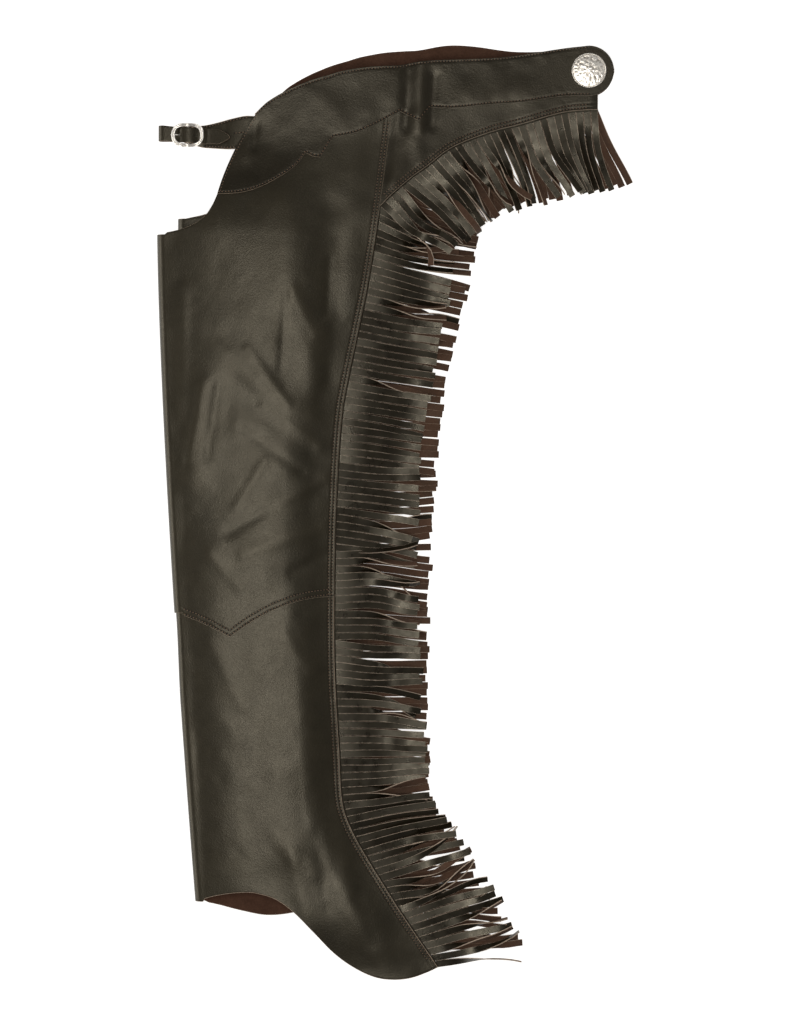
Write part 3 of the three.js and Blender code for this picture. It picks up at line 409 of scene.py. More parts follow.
def left_outer(x, y):
    """Height of the near leg: the layers under it, its hollow, its folds and its fullness."""
    across = across_of(x, y)
    floor = right_outer(*under_left(x, y))
    waist = mix(1, WAIST_SAG, ease(y / (0.55 * WAIST_RISE)))
    heel = mix(HEEL_SAG, 1, ease((y + 1.12 * CROTCH_TO_HEM) / (0.11 * CROTCH_TO_HEM)))
    stack = (left_inner(x, y) - floor + AIR_LEFT * hollow(across)) * waist * heel
    forward = clamp01((REAR_FLAT - np.maximum(1, across)) / (REAR_FLAT - 1))
    fold = lines_of(FOLDS, x, y) * ease(across / 0.12) * ease((0.97 - across) / 0.14)
    full = FULLNESS * ease((across + 0.02) / 0.36)
    shin = ease((knee_y(0.5) - y) / 70)
    filled = mix(0.5, 0.65, shin)
    full = full + filled * AIR_LEFT * (1 - hollow(across)) * ease((across - 0.3) / 0.3)
    full = full * ease((0.99 - across) / mix(0.3, 0.24, shin))
    full = full * mix(1, 0.25, ease((y + 20) / 60))
    calm = mix(0.15, 1, ease(across / 0.1)) * mix(0.1, 1, ease((1.9 - across) / 0.3))
    base = floor + mix(-REAR_CLOSE, stack, forward**1.2) + fold
    return base + full + softness(x, y) * calm


# The row frame's origin is under the middle of the model's box
concho_low, concho_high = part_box("concho")
SHIFT_X = 500 * (concho_low.x + concho_high.x) - CONCHO_X
SHIFT_Y = 500 * (concho_low.y + concho_high.y) - CONCHO_Y


def metres(points):
    """Plan millimetres to the row frame's metres."""
    return (np.asarray(points, float) + [SHIFT_X, SHIFT_Y, 0]) / 1000


class Half:
    """A leg and its side of the waist. out is 1 where its outer side faces up."""

    def __init__(self, name, out, outer, inner, step, seed):
        self.name = name
        self.out = out
        self.outer = outer
        self.inner = inner
        self.step = step
        self.seed = seed

    def plan(self, x, y):
        if self.out > 0:
            return x, y
        back, up = slide(x, y)
        return x + back, y + up

    def outside(self, x, y, level, face=1):
        """Points on the outer side. level counts layers from the hollow."""
        z = self.outer(x, y) + self.out * (level * PLY + face * LEATHER)
        return np.stack([*self.plan(x, y), z], -1)

    def inside(self, x, y, level, face=1):
        z = self.inner(x, y) - self.out * (level * PLY + face * LEATHER)
        return np.stack([*self.plan(x, y), z], -1)


LEFT = Half("left", 1, left_outer, left_inner, FINE, 11)
RIGHT = Half("right", -1, right_outer, right_inner, COARSE, 12)


def knee_y(across):
    point, down = KNEE_POINT
    front = mix(KNEE_AT_FOLD, down, (clamp01(across / point)) ** 1.3)
    rear = mix(KNEE_AT_SEAM, down, clamp01((1 - across) / (1 - point)) ** 2)
    return -CROTCH_TO_HEM * np.where(across < point, front, rear)


def yoke_low(across):
    found = WAIST_RISE * curve(YOKE_LOW[0], across)
    for run in YOKE_LOW[1:]:
        found = np.where(across >= run[0][0], WAIST_RISE * curve(run, across), found)
    return found


# Materials
WAX_TINT = (1, 0.92, 0.75, 1)  # the waxed surface warms what it reflects


class Finish:
    """A new material, and short names for the node calls that every finish makes."""

    def __init__(self, name):
        self.material = bpy.data.materials.new(name)
        self.material.use_nodes = True
        self.tree = self.material.node_tree
        self.tree.nodes.clear()
        output = self.node("OutputMaterial")
        self.shader = self.node("BsdfPrincipled")
        self.link(self.shader.outputs[0], output.inputs[0])
        self.place = self.node("TexCoord").outputs["Object"]

    def node(self, kind, settings=(), values=()):
        """A node with its settings and with constants in its sockets."""
        made = self.tree.nodes.new("ShaderNode" + kind)
        for name, setting in dict(settings).items():
            setattr(made, name, setting)
        for socket, number in dict(values).items():
            made.inputs[socket].default_value = number
        return made

    def link(self, source, target):
        self.tree.links.new(source, target)

    def finish(self, colour, roughness, normal=None, **more):
        """Fills the shader's sockets and hands over the material."""
        inputs = self.shader.inputs
        self.link(colour, inputs["Base Color"])
        if normal:
            self.link(normal, inputs["Normal"])
        if isinstance(roughness, float):
            inputs["Roughness"].default_value = roughness
        else:
            self.link(roughness, inputs["Roughness"])
        for socket, value in more.items():
            inputs[socket.replace("_", " ")].default_value = value
        return self.material

    def noise(self, scale, detail=3, rough=0.5, place=None):
        node = self.node("TexNoise", (), {"Scale": scale, "Detail": detail, "Roughness": rough})
        self.link(place or self.place, node.inputs["Vector"])
        return node.outputs["Fac"]

    def cells(self, scale):
        node = self.node("TexVoronoi", {"feature": "SMOOTH_F1"}, {"Scale": scale})
        self.link(self.place, node.inputs["Vector"])
        return node.outputs["Distance"]

    def stretched(self, x, y, z):
        node = self.node("Mapping", (), {"Scale": (x, y, z)})
        self.link(self.place, node.inputs["Vector"])
        return node.outputs[0]

    def spread(self, value, low, high, to_low=0, to_high=1):
        ends = {"From Min": low, "From Max": high, "To Min": to_low, "To Max": to_high}
        node = self.node("MapRange", {"clamp": True}, ends)
        self.link(value, node.inputs["Value"])
        return node.outputs[0]

    def sum(self, *parts):
        """Adds (value, weight) pairs."""
        total = None
        for value, weight in parts:
            node = self.node("Math", {"operation": "MULTIPLY_ADD"}, {1: weight, 2: 0})
            self.link(value, node.inputs[0])
            if total:
                self.link(total, node.inputs[2])
            total = node.outputs[0]
        return total

    def blend(self, share, low, high):
        """A colour between two, each a colour or another node's output."""
        node = self.node("Mix", {"data_type": "RGBA"})
        self.link(share, node.inputs["Factor"])
        for socket, colour in ((node.inputs[6], low), (node.inputs[7], high)):
            if isinstance(colour, tuple):
                socket.default_value = (*colour, 1)
            else:
                self.link(colour, socket)
        return node.outputs[2]

    def attribute(self, name):
        return self.node("Attribute", {"attribute_name": name}).outputs["Fac"]

    def from_middle(self):
        """How far across a strip's width a point is from its middle, as a share of it."""
        split = self.node("SeparateXYZ")
        self.link(self.node("UVMap", {"uv_map": "cut"}).outputs[0], split.inputs[0])
        middle = self.node("Math", {"operation": "SUBTRACT"}, {1: 0.5})
        self.link(split.outputs[1], middle.inputs[0])
        apart = self.node("Math", {"operation": "ABSOLUTE"})
        self.link(middle.outputs[0], apart.inputs[0])
        return apart.outputs[0]

    def bump(self, height, distance, strength):
        node = self.node("Bump", (), {"Distance": distance, "Strength": strength})
        self.link(height, node.inputs["Height"])
        return node.outputs[0]


def grain_leather(name, dark, light, roughness):
    """Smooth waxed leather: mottled colour, fine pebbled grain and a soft gloss."""
    f = Finish(name)
    mottle = f.sum((f.noise(22, 4), 0.5), (f.noise(95, 4), 0.3), (f.noise(600, 3), 0.2))
    worn = tuple(min(1, 1.7 * channel + 0.004) for channel in light)
    base = f.blend(f.spread(mottle, 0.36, 0.64), dark, light)
    rough = f.sum((f.noise(60, 2), 0.3), (f.noise(800, 3), 0.7))
    pebbles = f.sum(
        (f.cells(720), 0.7), (f.cells(1700), 0.3), (f.noise(330, 4, 0.6), 0.6), (f.noise(90, 2), 0.2)
    )
    return f.finish(
        f.blend(f.attribute("ridge"), base, worn),
        f.spread(rough, 0.36, 0.64, roughness - 0.04, roughness + 0.05),
        f.bump(pebbles, 0.0004, 0.45),
        Specular_IOR_Level=0.5,
        Specular_Tint=WAX_TINT,
    )


def suede(name, dark, light):
    """The napped flesh side: short brushed fibres with a soft sheen."""
    f = Finish(name)
    nap = f.sum((f.noise(45, 5, 0.6), 0.4), (f.noise(420, 5, 0.7), 0.35), (f.noise(2500, 2), 0.25))
    fibres = f.sum((f.noise(700, 4, 0.7), 0.6), (f.noise(2600, 3, 0.7), 0.4))
    return f.finish(
        f.blend(f.spread(nap, 0.36, 0.64), dark, light),
        0.95,
        f.bump(fibres, 0.0006, 0.8),
        Specular_IOR_Level=0.15,
        Sheen_Weight=0.35,
        Sheen_Roughness=0.5,
        Sheen_Tint=(0.75, 0.5, 0.38, 1),
    )


def raw_edge(name, dark, light):
    """A cut edge: pressed fibres in thin layers."""
    f = Finish(name)
    fibres = f.sum((f.noise(500, 4, 0.7), 0.5), (f.noise(1700, 3), 0.5))
    base = f.blend(f.spread(fibres, 0.38, 0.62), dark, light)
    return f.finish(base, 0.85, f.bump(fibres, 0.0005, 0.8))


def fringe_leather(name, dark, light, edge, roughness):
    """Leather of the cut strips, whose edges show the paler inside of the hide."""
    f = Finish(name)
    mottle = f.sum((f.noise(40, 4), 0.6), (f.noise(500, 3), 0.4))
    base = f.blend(f.spread(mottle, 0.36, 0.64), dark, light)
    ragged = f.sum((f.from_middle(), 1), (f.noise(260, 3), 0.06))
    pebbles = f.sum((f.cells(950), 0.4), (f.noise(330, 4, 0.6), 0.5))
    return f.finish(
        f.blend(f.spread(ragged, 0.502, 0.524), base, edge),
        f.spread(f.noise(80, 4), 0.35, 0.65, roughness - 0.08, roughness + 0.1),
        f.bump(pebbles, 0.0004, 0.5),
        Specular_Tint=WAX_TINT,
    )


def metal(name, bright, dark, roughness, wear):
    """Plated metal: polish with fine scratches, and tarnish in cloudy patches."""
    f = Finish(name)
    patina = f.sum((f.noise(700, 4, 0.6), 0.6), (f.noise(190, 3), 0.4))
    base = f.blend(f.spread(patina, 0.42, 0.66, 0, wear), bright, dark)
    scratches = f.noise(1, 2, place=f.stretched(300, 4200, 900))
    return f.finish(
        f.blend(f.attribute("recess"), base, dark),
        f.spread(patina, 0.35, 0.65, roughness, roughness + 0.06),
        f.bump(scratches, 0.00004, 0.3),
        Metallic=1,
    )


def thread_material(name, dark, light):
    f = Finish(name)
    twist = f.noise(1, 2, place=f.stretched(2600, 2600, 900))
    base = f.blend(f.spread(twist, 0.4, 0.6), dark, light)
    return f.finish(base, 0.6, f.bump(twist, 0.0002, 0.7))


def tape_material(name, dark, light):
    """Woven zip tape."""
    f = Finish(name)
    ribs = f.noise(1, 1, place=f.stretched(900, 2400, 900))
    weave = f.sum((ribs, 0.5), (f.noise(1800, 2), 0.5))
    base = f.blend(f.spread(weave, 0.4, 0.6), dark, light)
    return f.finish(base, 0.9, f.bump(weave, 0.0003, 0.8))


LEG_GRAIN = grain_leather("leg_grain", (0.0095, 0.0074, 0.0036), (0.0175, 0.0138, 0.0074), 0.39)
# the yoke, hip and band leather is a somewhat darker leather, darkened further by painted shade for
# the light falling off over the waist and hip
YOKE_GRAIN_SHADED = grain_leather("yoke_grain", (0.0062, 0.0044, 0.0018), (0.0105, 0.0077, 0.0036), 0.37)
STRAP_GRAIN = grain_leather("strap_grain", (0.010, 0.0078, 0.0040), (0.018, 0.0140, 0.0078), 0.37)
FLESH = suede("flesh_side", (0.044, 0.020, 0.0120), (0.090, 0.045, 0.029))
CUT_EDGE = raw_edge("cut_edge", (0.22, 0.16, 0.11), (0.42, 0.33, 0.25))
FRINGE_GRAIN = fringe_leather(
    "fringe_grain", (0.0060, 0.0044, 0.0020), (0.0115, 0.0086, 0.0042), (0.62, 0.50, 0.395), 0.34
)
FRINGE_FLESH = fringe_leather(
    "fringe_flesh", (0.042, 0.0195, 0.0120), (0.084, 0.043, 0.0275), (0.33, 0.24, 0.18), 0.85
)
FRINGE_CUT = raw_edge("fringe_cut", (0.24, 0.18, 0.135), (0.50, 0.40, 0.315))
THREAD = thread_material("seam_thread", (0.095, 0.054, 0.032), (0.230, 0.145, 0.090))
# near-black finish of the discs at the awl holes: painted shade where the holes are
AWL_HOLE_SHADE = raw_edge("awl_hole_painted_shade", (0.0015, 0.001, 0.0006), (0.004, 0.0026, 0.0016))
SILVER = metal("antiqued_silver", (0.98, 0.94, 0.88), (0.32, 0.27, 0.21), 0.36, 0.1)
NICKEL = metal("polished_nickel", (0.95, 0.92, 0.88), (0.80, 0.76, 0.70), 0.3, 0.1)
ZIP_TAPE = tape_material("zip_tape_weave", (0.010, 0.008, 0.006), (0.028, 0.022, 0.017))

# Making pieces
collection = bpy.context.scene.collection


def piece_of(name, bm, materials):
    mesh = bpy.data.meshes.new(name)
    bm.to_mesh(mesh)
    bm.free()
    made = bpy.data.objects.new(name, mesh)
    collection.objects.link(made)
    for material in materials:
        mesh.materials.append(material)
    return made


def shade(made, crisp=None):
    made.data.shade_smooth()
    if crisp:
        made.data.set_sharp_from_angle(angle=crisp)


def to_root(made, *nodes):
    """Rides a piece on the part's one body, and hides the solids it stands for."""
    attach(made, "root")
    if nodes:
        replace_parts(made, *nodes)
    return made


def settle(made):
    """Applies a piece's modifiers, then shades it smooth up to its crisp edges."""
    bpy.context.view_layer.update()
    finished = made.evaluated_get(bpy.context.evaluated_depsgraph_get())
    mesh = bpy.data.meshes.new_from_object(finished)
    old = made.data
    made.modifiers.clear()
    made.data = mesh
    mesh.name = old.name
    bpy.data.meshes.remove(old)
    shade(made, CRISP)


def face_out(bm, out):
    """Turns a sheet so that the face that lies furthest out looks out."""
    bm.normal_update()
    furthest = max(bm.faces, key=lambda f: out * f.calc_center_median().z)
    if out * furthest.normal.z < 0:
        bmesh.ops.reverse_faces(bm, faces=bm.faces[:])


def grid_of(points):
    """A bmesh grid whose corners lie at an array of points, rows by columns."""
    rows, columns = points.shape[0], points.shape[1]
    bm = bmesh.new()
    bm.loops.layers.uv.new("cut")
    bmesh.ops.create_grid(
        bm, x_segments=columns - 1, y_segments=rows - 1, size=0.5, calc_uvs=True
    )
    placed = metres(points)
    for vert in bm.verts:
        column = round((vert.co.x + 0.5) * (columns - 1))
        row = round((vert.co.y + 0.5) * (rows - 1))
        vert.co = placed[row, column]
    return bm


def thicken(made, thickness=LEATHER, edge=CUT_BEVEL):
    solid = made.modifiers.new("thickness", "SOLIDIFY")
    solid.thickness = thickness / 1000
    solid.offset = -1
    solid.use_even_offset = False
    solid.material_offset = 1
    solid.material_offset_rim = 2
    if edge:
        rounded = made.modifiers.new("edge", "BEVEL")
        rounded.width = edge / 1000
        rounded.segments = 2
        rounded.limit_method = "ANGLE"
        rounded.angle_limit = math.radians(55)
        rounded.material = 2


def ridge_attribute(made, half):
    """Marks the tops of folds, where waxed leather pales."""
    count = len(made.data.vertices)
    place = np.zeros(count * 3, np.float32)
    made.data.vertices.foreach_get("co", place)
    place = place.reshape(-1, 3) * 1000 - [SHIFT_X, SHIFT_Y, 0]
    x, y = place[:, 0], place[:, 1]
    rise = lines_of(FOLDS, x, y) / 3 + lines_of(CREASES, x, y) / 1.2
    ridge = clamp01(0.35 * rise + 0.12 * hills(x, y, 30, 8)) if half is LEFT else 0 * x
    made.data.attributes.new("ridge", "FLOAT", "POINT").data.foreach_set(
        "value", ridge.astype(np.float32)
    )


def leather_piece(name, half, points, grain, nodes=(), edge=CUT_BEVEL):
    """A sheet of leather with its grain side at the points."""
    bm = grid_of(points)
    face_out(bm, half.out)
    made = piece_of(name, bm, [grain, FLESH, CUT_EDGE])
    thicken(made, LEATHER, edge)
    settle(made)
    ridge_attribute(made, half)
    return to_root(made, *nodes)


# The yoke
def yoke_ends(across):
    """Plan points of the yoke's top and lower edges."""
    top_y, low_y = WAIST_RISE * curve(YOKE_TOP, across), yoke_low(across)
    top = np.stack([plan_x(curve(YOKE_TOP_ACROSS, across), top_y), top_y], -1)
    low = np.stack([plan_x(across, low_y), low_y], -1)
    return top, low


def yoke_points(across, share):
    """Plan points between the two edges, share 0 at the top."""
    top, low = yoke_ends(across)
    bow = 4 * YOKE_FRONT_BOW * (1 - ease((across - YOKE_FRONT) / 0.12)) * share * (1 - share)
    at = mix(top, low, share[..., None])
    return np.stack([at[..., 0] - bow, at[..., 1]], -1)


def yoke_stations(step):
    stations = [YOKE_FRONT]
    for run in YOKE_LOW:
        first, last = run[0][0], run[-1][0]
        stations.extend(spaced(first, last, (last - first) * HIP_SPAN, step)[1:])
    return np.array(stations)


def yoke_plan(step):
    """The yoke's whole plan, rows by columns, with its round rear end."""
    across = yoke_stations(step)
    edge = np.array([0, 0.008, 0.016, 0.024, 0.034, 0.046])
    between = np.linspace(0.07, 0.93, int(WAIST_RISE * 0.4 / step))
    rows = np.concatenate([edge, between, 1 - edge[::-1]])
    front = yoke_points(across[None, :], rows[:, None] * np.ones_like(across)[None, :])
    turn = np.linspace(0, 0.49 * math.pi, 14)[1:]
    x = CONCHO_X + YOKE_END_RADIUS * np.sin(turn)
    rise = YOKE_END_RADIUS * np.cos(turn)
    y = CONCHO_Y + rise[None, :] * (1 - 2 * rows[:, None])
    rear = np.stack([x[None, :] + 0 * y, y], -1)
    return np.concatenate([front, rear], 1)


def make_yoke(half):
    plan = yoke_plan(half.step)
    points = half.outside(plan[..., 0], plan[..., 1], 3)
    to_low = np.linalg.norm(plan - plan[-1:], axis=2)
    to_top = np.linalg.norm(plan - plan[:1], axis=2)
    nearest = np.minimum(to_low, to_top)
    sewn = pucker(plan[..., 0], plan[..., 1], nearest) - dip(nearest, [YOKE_ROW])
    points[..., 2] += half.out * sewn * mix(0.2, 1, ease((CONCHO_X - plan[..., 0]) / 30))
    name = half.name + "_yoke_leather"
    made = leather_piece(name, half, points, YOKE_GRAIN_SHADED, [half.name + "_yoke"])


def dip(distance, rows):
    """How far the leather is pulled down at a distance from a sewn edge."""
    pulled = 0 * distance
    for row in rows:
        pulled = pulled + np.exp(-(((distance - row) / 0.85) ** 2))
    return STITCH_DIP * pulled


def pucker(x, y, distance):
    """The small unevenness that stitching leaves beside it."""
    return 0.22 * hills(x, y, 6.5, 9) * np.exp(-((distance / 11) ** 2))


# The leg, wrapped round its front fold
def fold_start(y):
    """The share across at which a leg's outer layer leaves the round fold."""
    return FOLD_REACH / (seam_x(y) - fold_x(y))


def fold_arc(half, y, outer_level, inner_level):
    """Points round the front fold, from the outer layer to the inner one."""
    x = fold_x(y) + FOLD_REACH
    top = half.outside(x, y, outer_level, 0)[:, 2]
    bottom = half.inside(x, y, inner_level, 0)[:, 2]
    rise = (top - bottom) / 2 + half.out * LEATHER
    below_knee = ease((knee_y(0.0) - KNEE_TAIL - y) / 90)
    reach = FOLD_REACH - PLY * (2 - outer_level) * (1 - below_knee)
    columns = []
    for i in range(FOLD_STEPS + 1):
        turn = math.pi * (0.5 - i / FOLD_STEPS)
        at = half.plan(x - reach * math.cos(turn), y)
        columns.append(np.stack([*at, (top + bottom) / 2 + rise * math.sin(turn)], -1))
    return columns


def leg_sheet(half, fold_y, outer_xy, inner_xy, outer_level, inner_level, sewn):
    """A leg wall, rows down the leg and columns from the seam round the fold."""
    width = seam_x(fold_y) - fold_x(fold_y)
    start = fold_start(fold_y)
    beside = [1 - inset / width for inset in NEAR_SEAM]
    further = [
        mix(beside[-1], start, share)
        for share in spaced(0, 1, THIGH_WIDTH * 0.86, half.step)[1:-1]
    ]
    columns = []
    for across in beside + further:
        x, y = outer_xy(across)
        points = half.outside(x, y, outer_level)
        points[:, 2] += half.out * sewn(across, x, y)
        columns.append(points)
    columns.extend(fold_arc(half, fold_y, outer_level, inner_level))
    for share in spaced(0, 1, THIGH_WIDTH * 0.9, 2.2 * half.step)[1:]:
        columns.append(half.inside(*inner_xy(mix(start, 1, share)), inner_level))
    return np.stack(columns, 1)


def thigh_points(half):
    lap = np.linspace(0, 1, LAP_ROWS)
    down = spaced(0, 1, CROTCH_TO_HEM * 0.56, half.step)[1:]
    near_knee = np.array([1, 2, 3, 3.9, 4.7, 5.5, 6.5, 7.5, 8.5, 9.3, 10, 10.7, 11.4, 12])
    lap_share = np.concatenate([lap, np.ones(len(down) + len(near_knee))])
    share = np.concatenate([np.zeros(len(lap)), down, np.ones(len(near_knee))])
    tail = np.concatenate([np.zeros(len(lap) + len(down)), near_knee])
    fold_y = -SEAM_LAP * lap_share + (knee_y(0.0) + KNEE_TAIL + SEAM_LAP) * share - tail

    def outer_xy(across):
        crotch = WAIST_RISE * curve(CROTCH, np.minimum(across, YOKE_FRONT))
        front_y = crotch - SEAM_LAP * lap_share
        top, low = yoke_ends(np.maximum(across, YOKE_FRONT))
        length = np.hypot(*(top - low).T)
        run = 1 - np.minimum(SEAM_LAP / length, 0.4) * (1 - lap_share)
        lapped = yoke_points(np.maximum(across, YOKE_FRONT), run)
        under = across >= YOKE_LAP_FROM
        start = np.where(under, lapped[:, 1], front_y)
        y = mix(start, knee_y(across) + KNEE_TAIL, share) - tail
        x = np.where(under & (share == 0), lapped[:, 0], plan_x(across, y))
        return x, y

    def inner_xy(across):
        lap_y = knee_y(0.0) + SEAM_LAP
        part = clamp01(fold_y / lap_y)
        y = mix(WAIST_RISE * curve(INNER_TOP, across), knee_y(across) + SEAM_LAP, part)
        y = y + np.minimum(0, fold_y - lap_y)
        return plan_x(across, y), y

    def sewn(across, x, y):
        from_seam = (1 - across) * (seam_x(y) - fold_x(y))
        above_knee = y - knee_y(across)
        pulled = dip(from_seam, SEAM_ROWS) + dip(above_knee, KNEE_ROWS)
        return pucker(x, y, np.minimum(from_seam, above_knee)) - pulled

    return leg_sheet(half, fold_y, outer_xy, inner_xy, 2, 1, sewn)


def shin_points(half):
    share = spaced(0, 1, CROTCH_TO_HEM * 0.54, half.step)

    def fold_line(hem, across):
        return mix(knee_y(across) + SEAM_LAP, -CROTCH_TO_HEM * curve(hem, across), share)

    def on_line(hem):
        def at(across):
            y = fold_line(hem, across)
            return plan_x(across, y), y

        return at

    def sewn(across, x, y):
        from_seam = (1 - across) * (seam_x(y) - fold_x(y))
        below_knee = ease((knee_y(across) - y) / 4)
        return (pucker(x, y, from_seam) - dip(from_seam, SEAM_ROWS)) * below_knee

    return leg_sheet(half, fold_line(HEM, 0.0), on_line(HEM), on_line(INNER_HEM), 1, 0, sewn)


def make_leg(half):
    def panel(part, points):
        name = f"{half.name}_{part}"
        return leather_piece(
            name + "_leather", half, points, LEG_GRAIN, [name + "_panel"]
        )

    thigh = panel("thigh", thigh_points(half))
    shin = panel("shin", shin_points(half))


# The hip panel
def hip_edge_points(across):
    """Plan points on the hip panel's lower edge."""
    y = WAIST_RISE * curve(HIP_EDGE, across)
    return np.stack([plan_x(across, y), y], -1)


def hip_level(across):
    return 1 + clamp01((across - 1) / 0.04)


def make_hip(half):
    across = spaced(HIP_FRONT, 2, HIP_SPAN, half.step)
    top, low = yoke_ends(across)
    length = np.hypot(*(top - low).T)
    lapped = yoke_points(across, 1 - np.minimum(SEAM_LAP / length, 0.4))
    edge = hip_edge_points(across)
    lapped = np.concatenate([lapped, lapped[-1:] + [HIP_REAR_X - CONCHO_X, 0]])
    edge = np.concatenate([edge, edge[-1:] + [HIP_REAR_X - CONCHO_X, 0]])
    even = np.linspace(0, 0.82, int(75 / half.step))
    share = np.concatenate([even, 1 - NEAR_SEAM[:-1][::-1] / 70])[:, None, None]
    plan = mix(lapped[None], edge[None], share)
    level = hip_level(np.append(across, 2))[None, :]
    points = half.outside(plan[..., 0], plan[..., 1], level)
    to_edge = np.linalg.norm(plan - plan[-1:], axis=2) * HIP_EDGE_SLANT
    behind = ease((plan[..., 0] - seam_x(plan[..., 1]) - 4) / 5)
    points[..., 2] += half.out * behind * (
        pucker(plan[..., 0], plan[..., 1], to_edge) - dip(to_edge, HIP_ROWS)
    )
    name = half.name + "_hip_leather"
    made = leather_piece(name, half, points, YOKE_GRAIN_SHADED, [half.name + "_hip_panel"])


# The fringe
def hip_band(half):
    """Lap and edge points of the fringe's uncut band under the hip edge, rear to front."""
    across = spaced(2, 1, HIP_SPAN, BAND_STEP)
    edge = hip_edge_points(across)
    edge = np.concatenate([edge[:1] + [HIP_REAR_X - CONCHO_X, 0], edge])
    across = np.insert(across, 0, 2)
    lap = edge + [0, SEAM_LAP]
    share = np.linspace(0, 1, len(across))
    turn = curve(HIP_FRINGE_TURN, share)
    if half is LEFT:
        turn = turn - REAR_HANG * (1 - ease(share / 0.3))
    turn = np.radians(turn)
    return lap, edge, turn, hip_level(across) - 1


def leg_band(half):
    """The same of the band down the outer seam, from the hip edge to the hem."""
    top, bottom = WAIST_RISE * curve(HIP_EDGE, 1), -CROTCH_TO_HEM * HEM[-1][1]
    y = spaced(top, bottom, top - bottom, BAND_STEP)
    edge = np.stack([seam_x(y), y], -1)
    lap = np.stack([plan_x(HIP_FRONT, y), y], -1)
    share = np.linspace(0, 1, len(y))
    turn = curve(LEG_FRINGE_TURN, share)
    if half is LEFT:
        turn = turn + curve(HEEL_LIFT, share)
    turn = np.radians(turn)
    level = ease((y - (knee_y(1.0) + SEAM_LAP)) / 8) * ease((top - 1 - y) / 8)
    return lap, edge, turn, level


def band_points(half, lap, edge, turn, level):
    """Points of an uncut band, whose last row hangs free where the strips begin."""
    heading = np.stack([np.cos(turn), np.sin(turn)], -1)
    out = edge + FRINGE_OUTSET * heading
    rows = []
    for share in np.linspace(0, 1, 5):
        at = mix(lap, edge, share)
        rows.append(half.outside(at[:, 0], at[:, 1], level, 0.9))
    last = rows[-1].copy()
    last[:, :2] = np.stack(half.plan(out[:, 0], out[:, 1]), -1)
    last[:, 2] -= 0.9 * half.out
    rows.append(last)
    return np.stack(rows, 0)


# The share of strips that twist, along the leg from the hip and along the hip from the rear
LEG_TANGLE = [
    (0, 0.75), (0.08, 0.6), (0.14, 0.2), (0.2, 0.08), (0.38, 0.08), (0.46, 0.5), (0.54, 0.15),
    (0.62, 0.12), (0.7, 0.2), (0.82, 0.08), (0.9, 0.4), (1, 0.55),
]
# The length of the leg's strips as a share of FRINGE_LENGTH, from the hip down
LEG_REACH = {
    "left": [(0, 1), (0.45, 1), (0.6, 1.04), (0.72, 1.04), (0.82, 1.12), (0.95, 1.12), (1, 1.05)],
    "right": [(0, 1), (0.45, 1), (0.6, 0.96), (0.72, 0.94), (0.82, 0.88), (0.95, 0.88), (1, 0.95)],
}
HIP_REACH = [(0, 1), (1, 1)]
HIP_TANGLE = [(0, 0), (0.08, 0.1), (0.3, 0.5), (0.7, 0.65), (1, 0.8)]


class Pile:
    """Heights of the strips that lie so far, on a plan of small squares."""

    CELL = 1.6
    LOW = (40, -900)
    SQUARES = (340, 720)

    def __init__(self):
        self.height = np.zeros(self.SQUARES)

    def squares(self, x, y):
        found = []
        for value, low, count in zip((x, y), self.LOW, self.SQUARES):
            square = ((np.asarray(value) - low) / self.CELL).astype(int)
            found.append(np.clip(square, 0, count - 1))
        return tuple(found)

    def under(self, x, y):
        return self.height[self.squares(x, y)]

    def add(self, x, y, z):
        np.maximum.at(self.height, self.squares(x, y), z)


def strip_line(rng, start, turn, length, clump, wild):
    """Centreline and roll of one strip, before it is laid on the pile."""
    t = np.linspace(0, 1, STRIP_STEPS + 1)
    bend = clump["bend"] + rng.normal(0, 0.035) + (rng.normal(0, 0.3) if wild else 0)
    heading = turn + clump["turn"] * t + bend * t**2 + clump["wave"] * np.sin(2 * math.pi * t)
    heading = heading + rng.normal(0, 0.02) * t
    step = length / STRIP_STEPS
    x = start[0] + np.concatenate([[0], np.cumsum(np.cos(heading[1:]) * step)])
    y = start[1] + np.concatenate([[0], np.cumsum(np.sin(heading[1:]) * step)])
    roll = clump["roll"] * ease(t * 2.2) + rng.normal(0, 0.15) * ease(t * 5)
    if wild:
        sign = 1 if rng.random() < 0.5 else -1
        roll = roll + sign * rng.uniform(0.7, 3.0) * ease((t - rng.uniform(0.05, 0.4)) / 0.6)
    return t, x, y, heading, roll


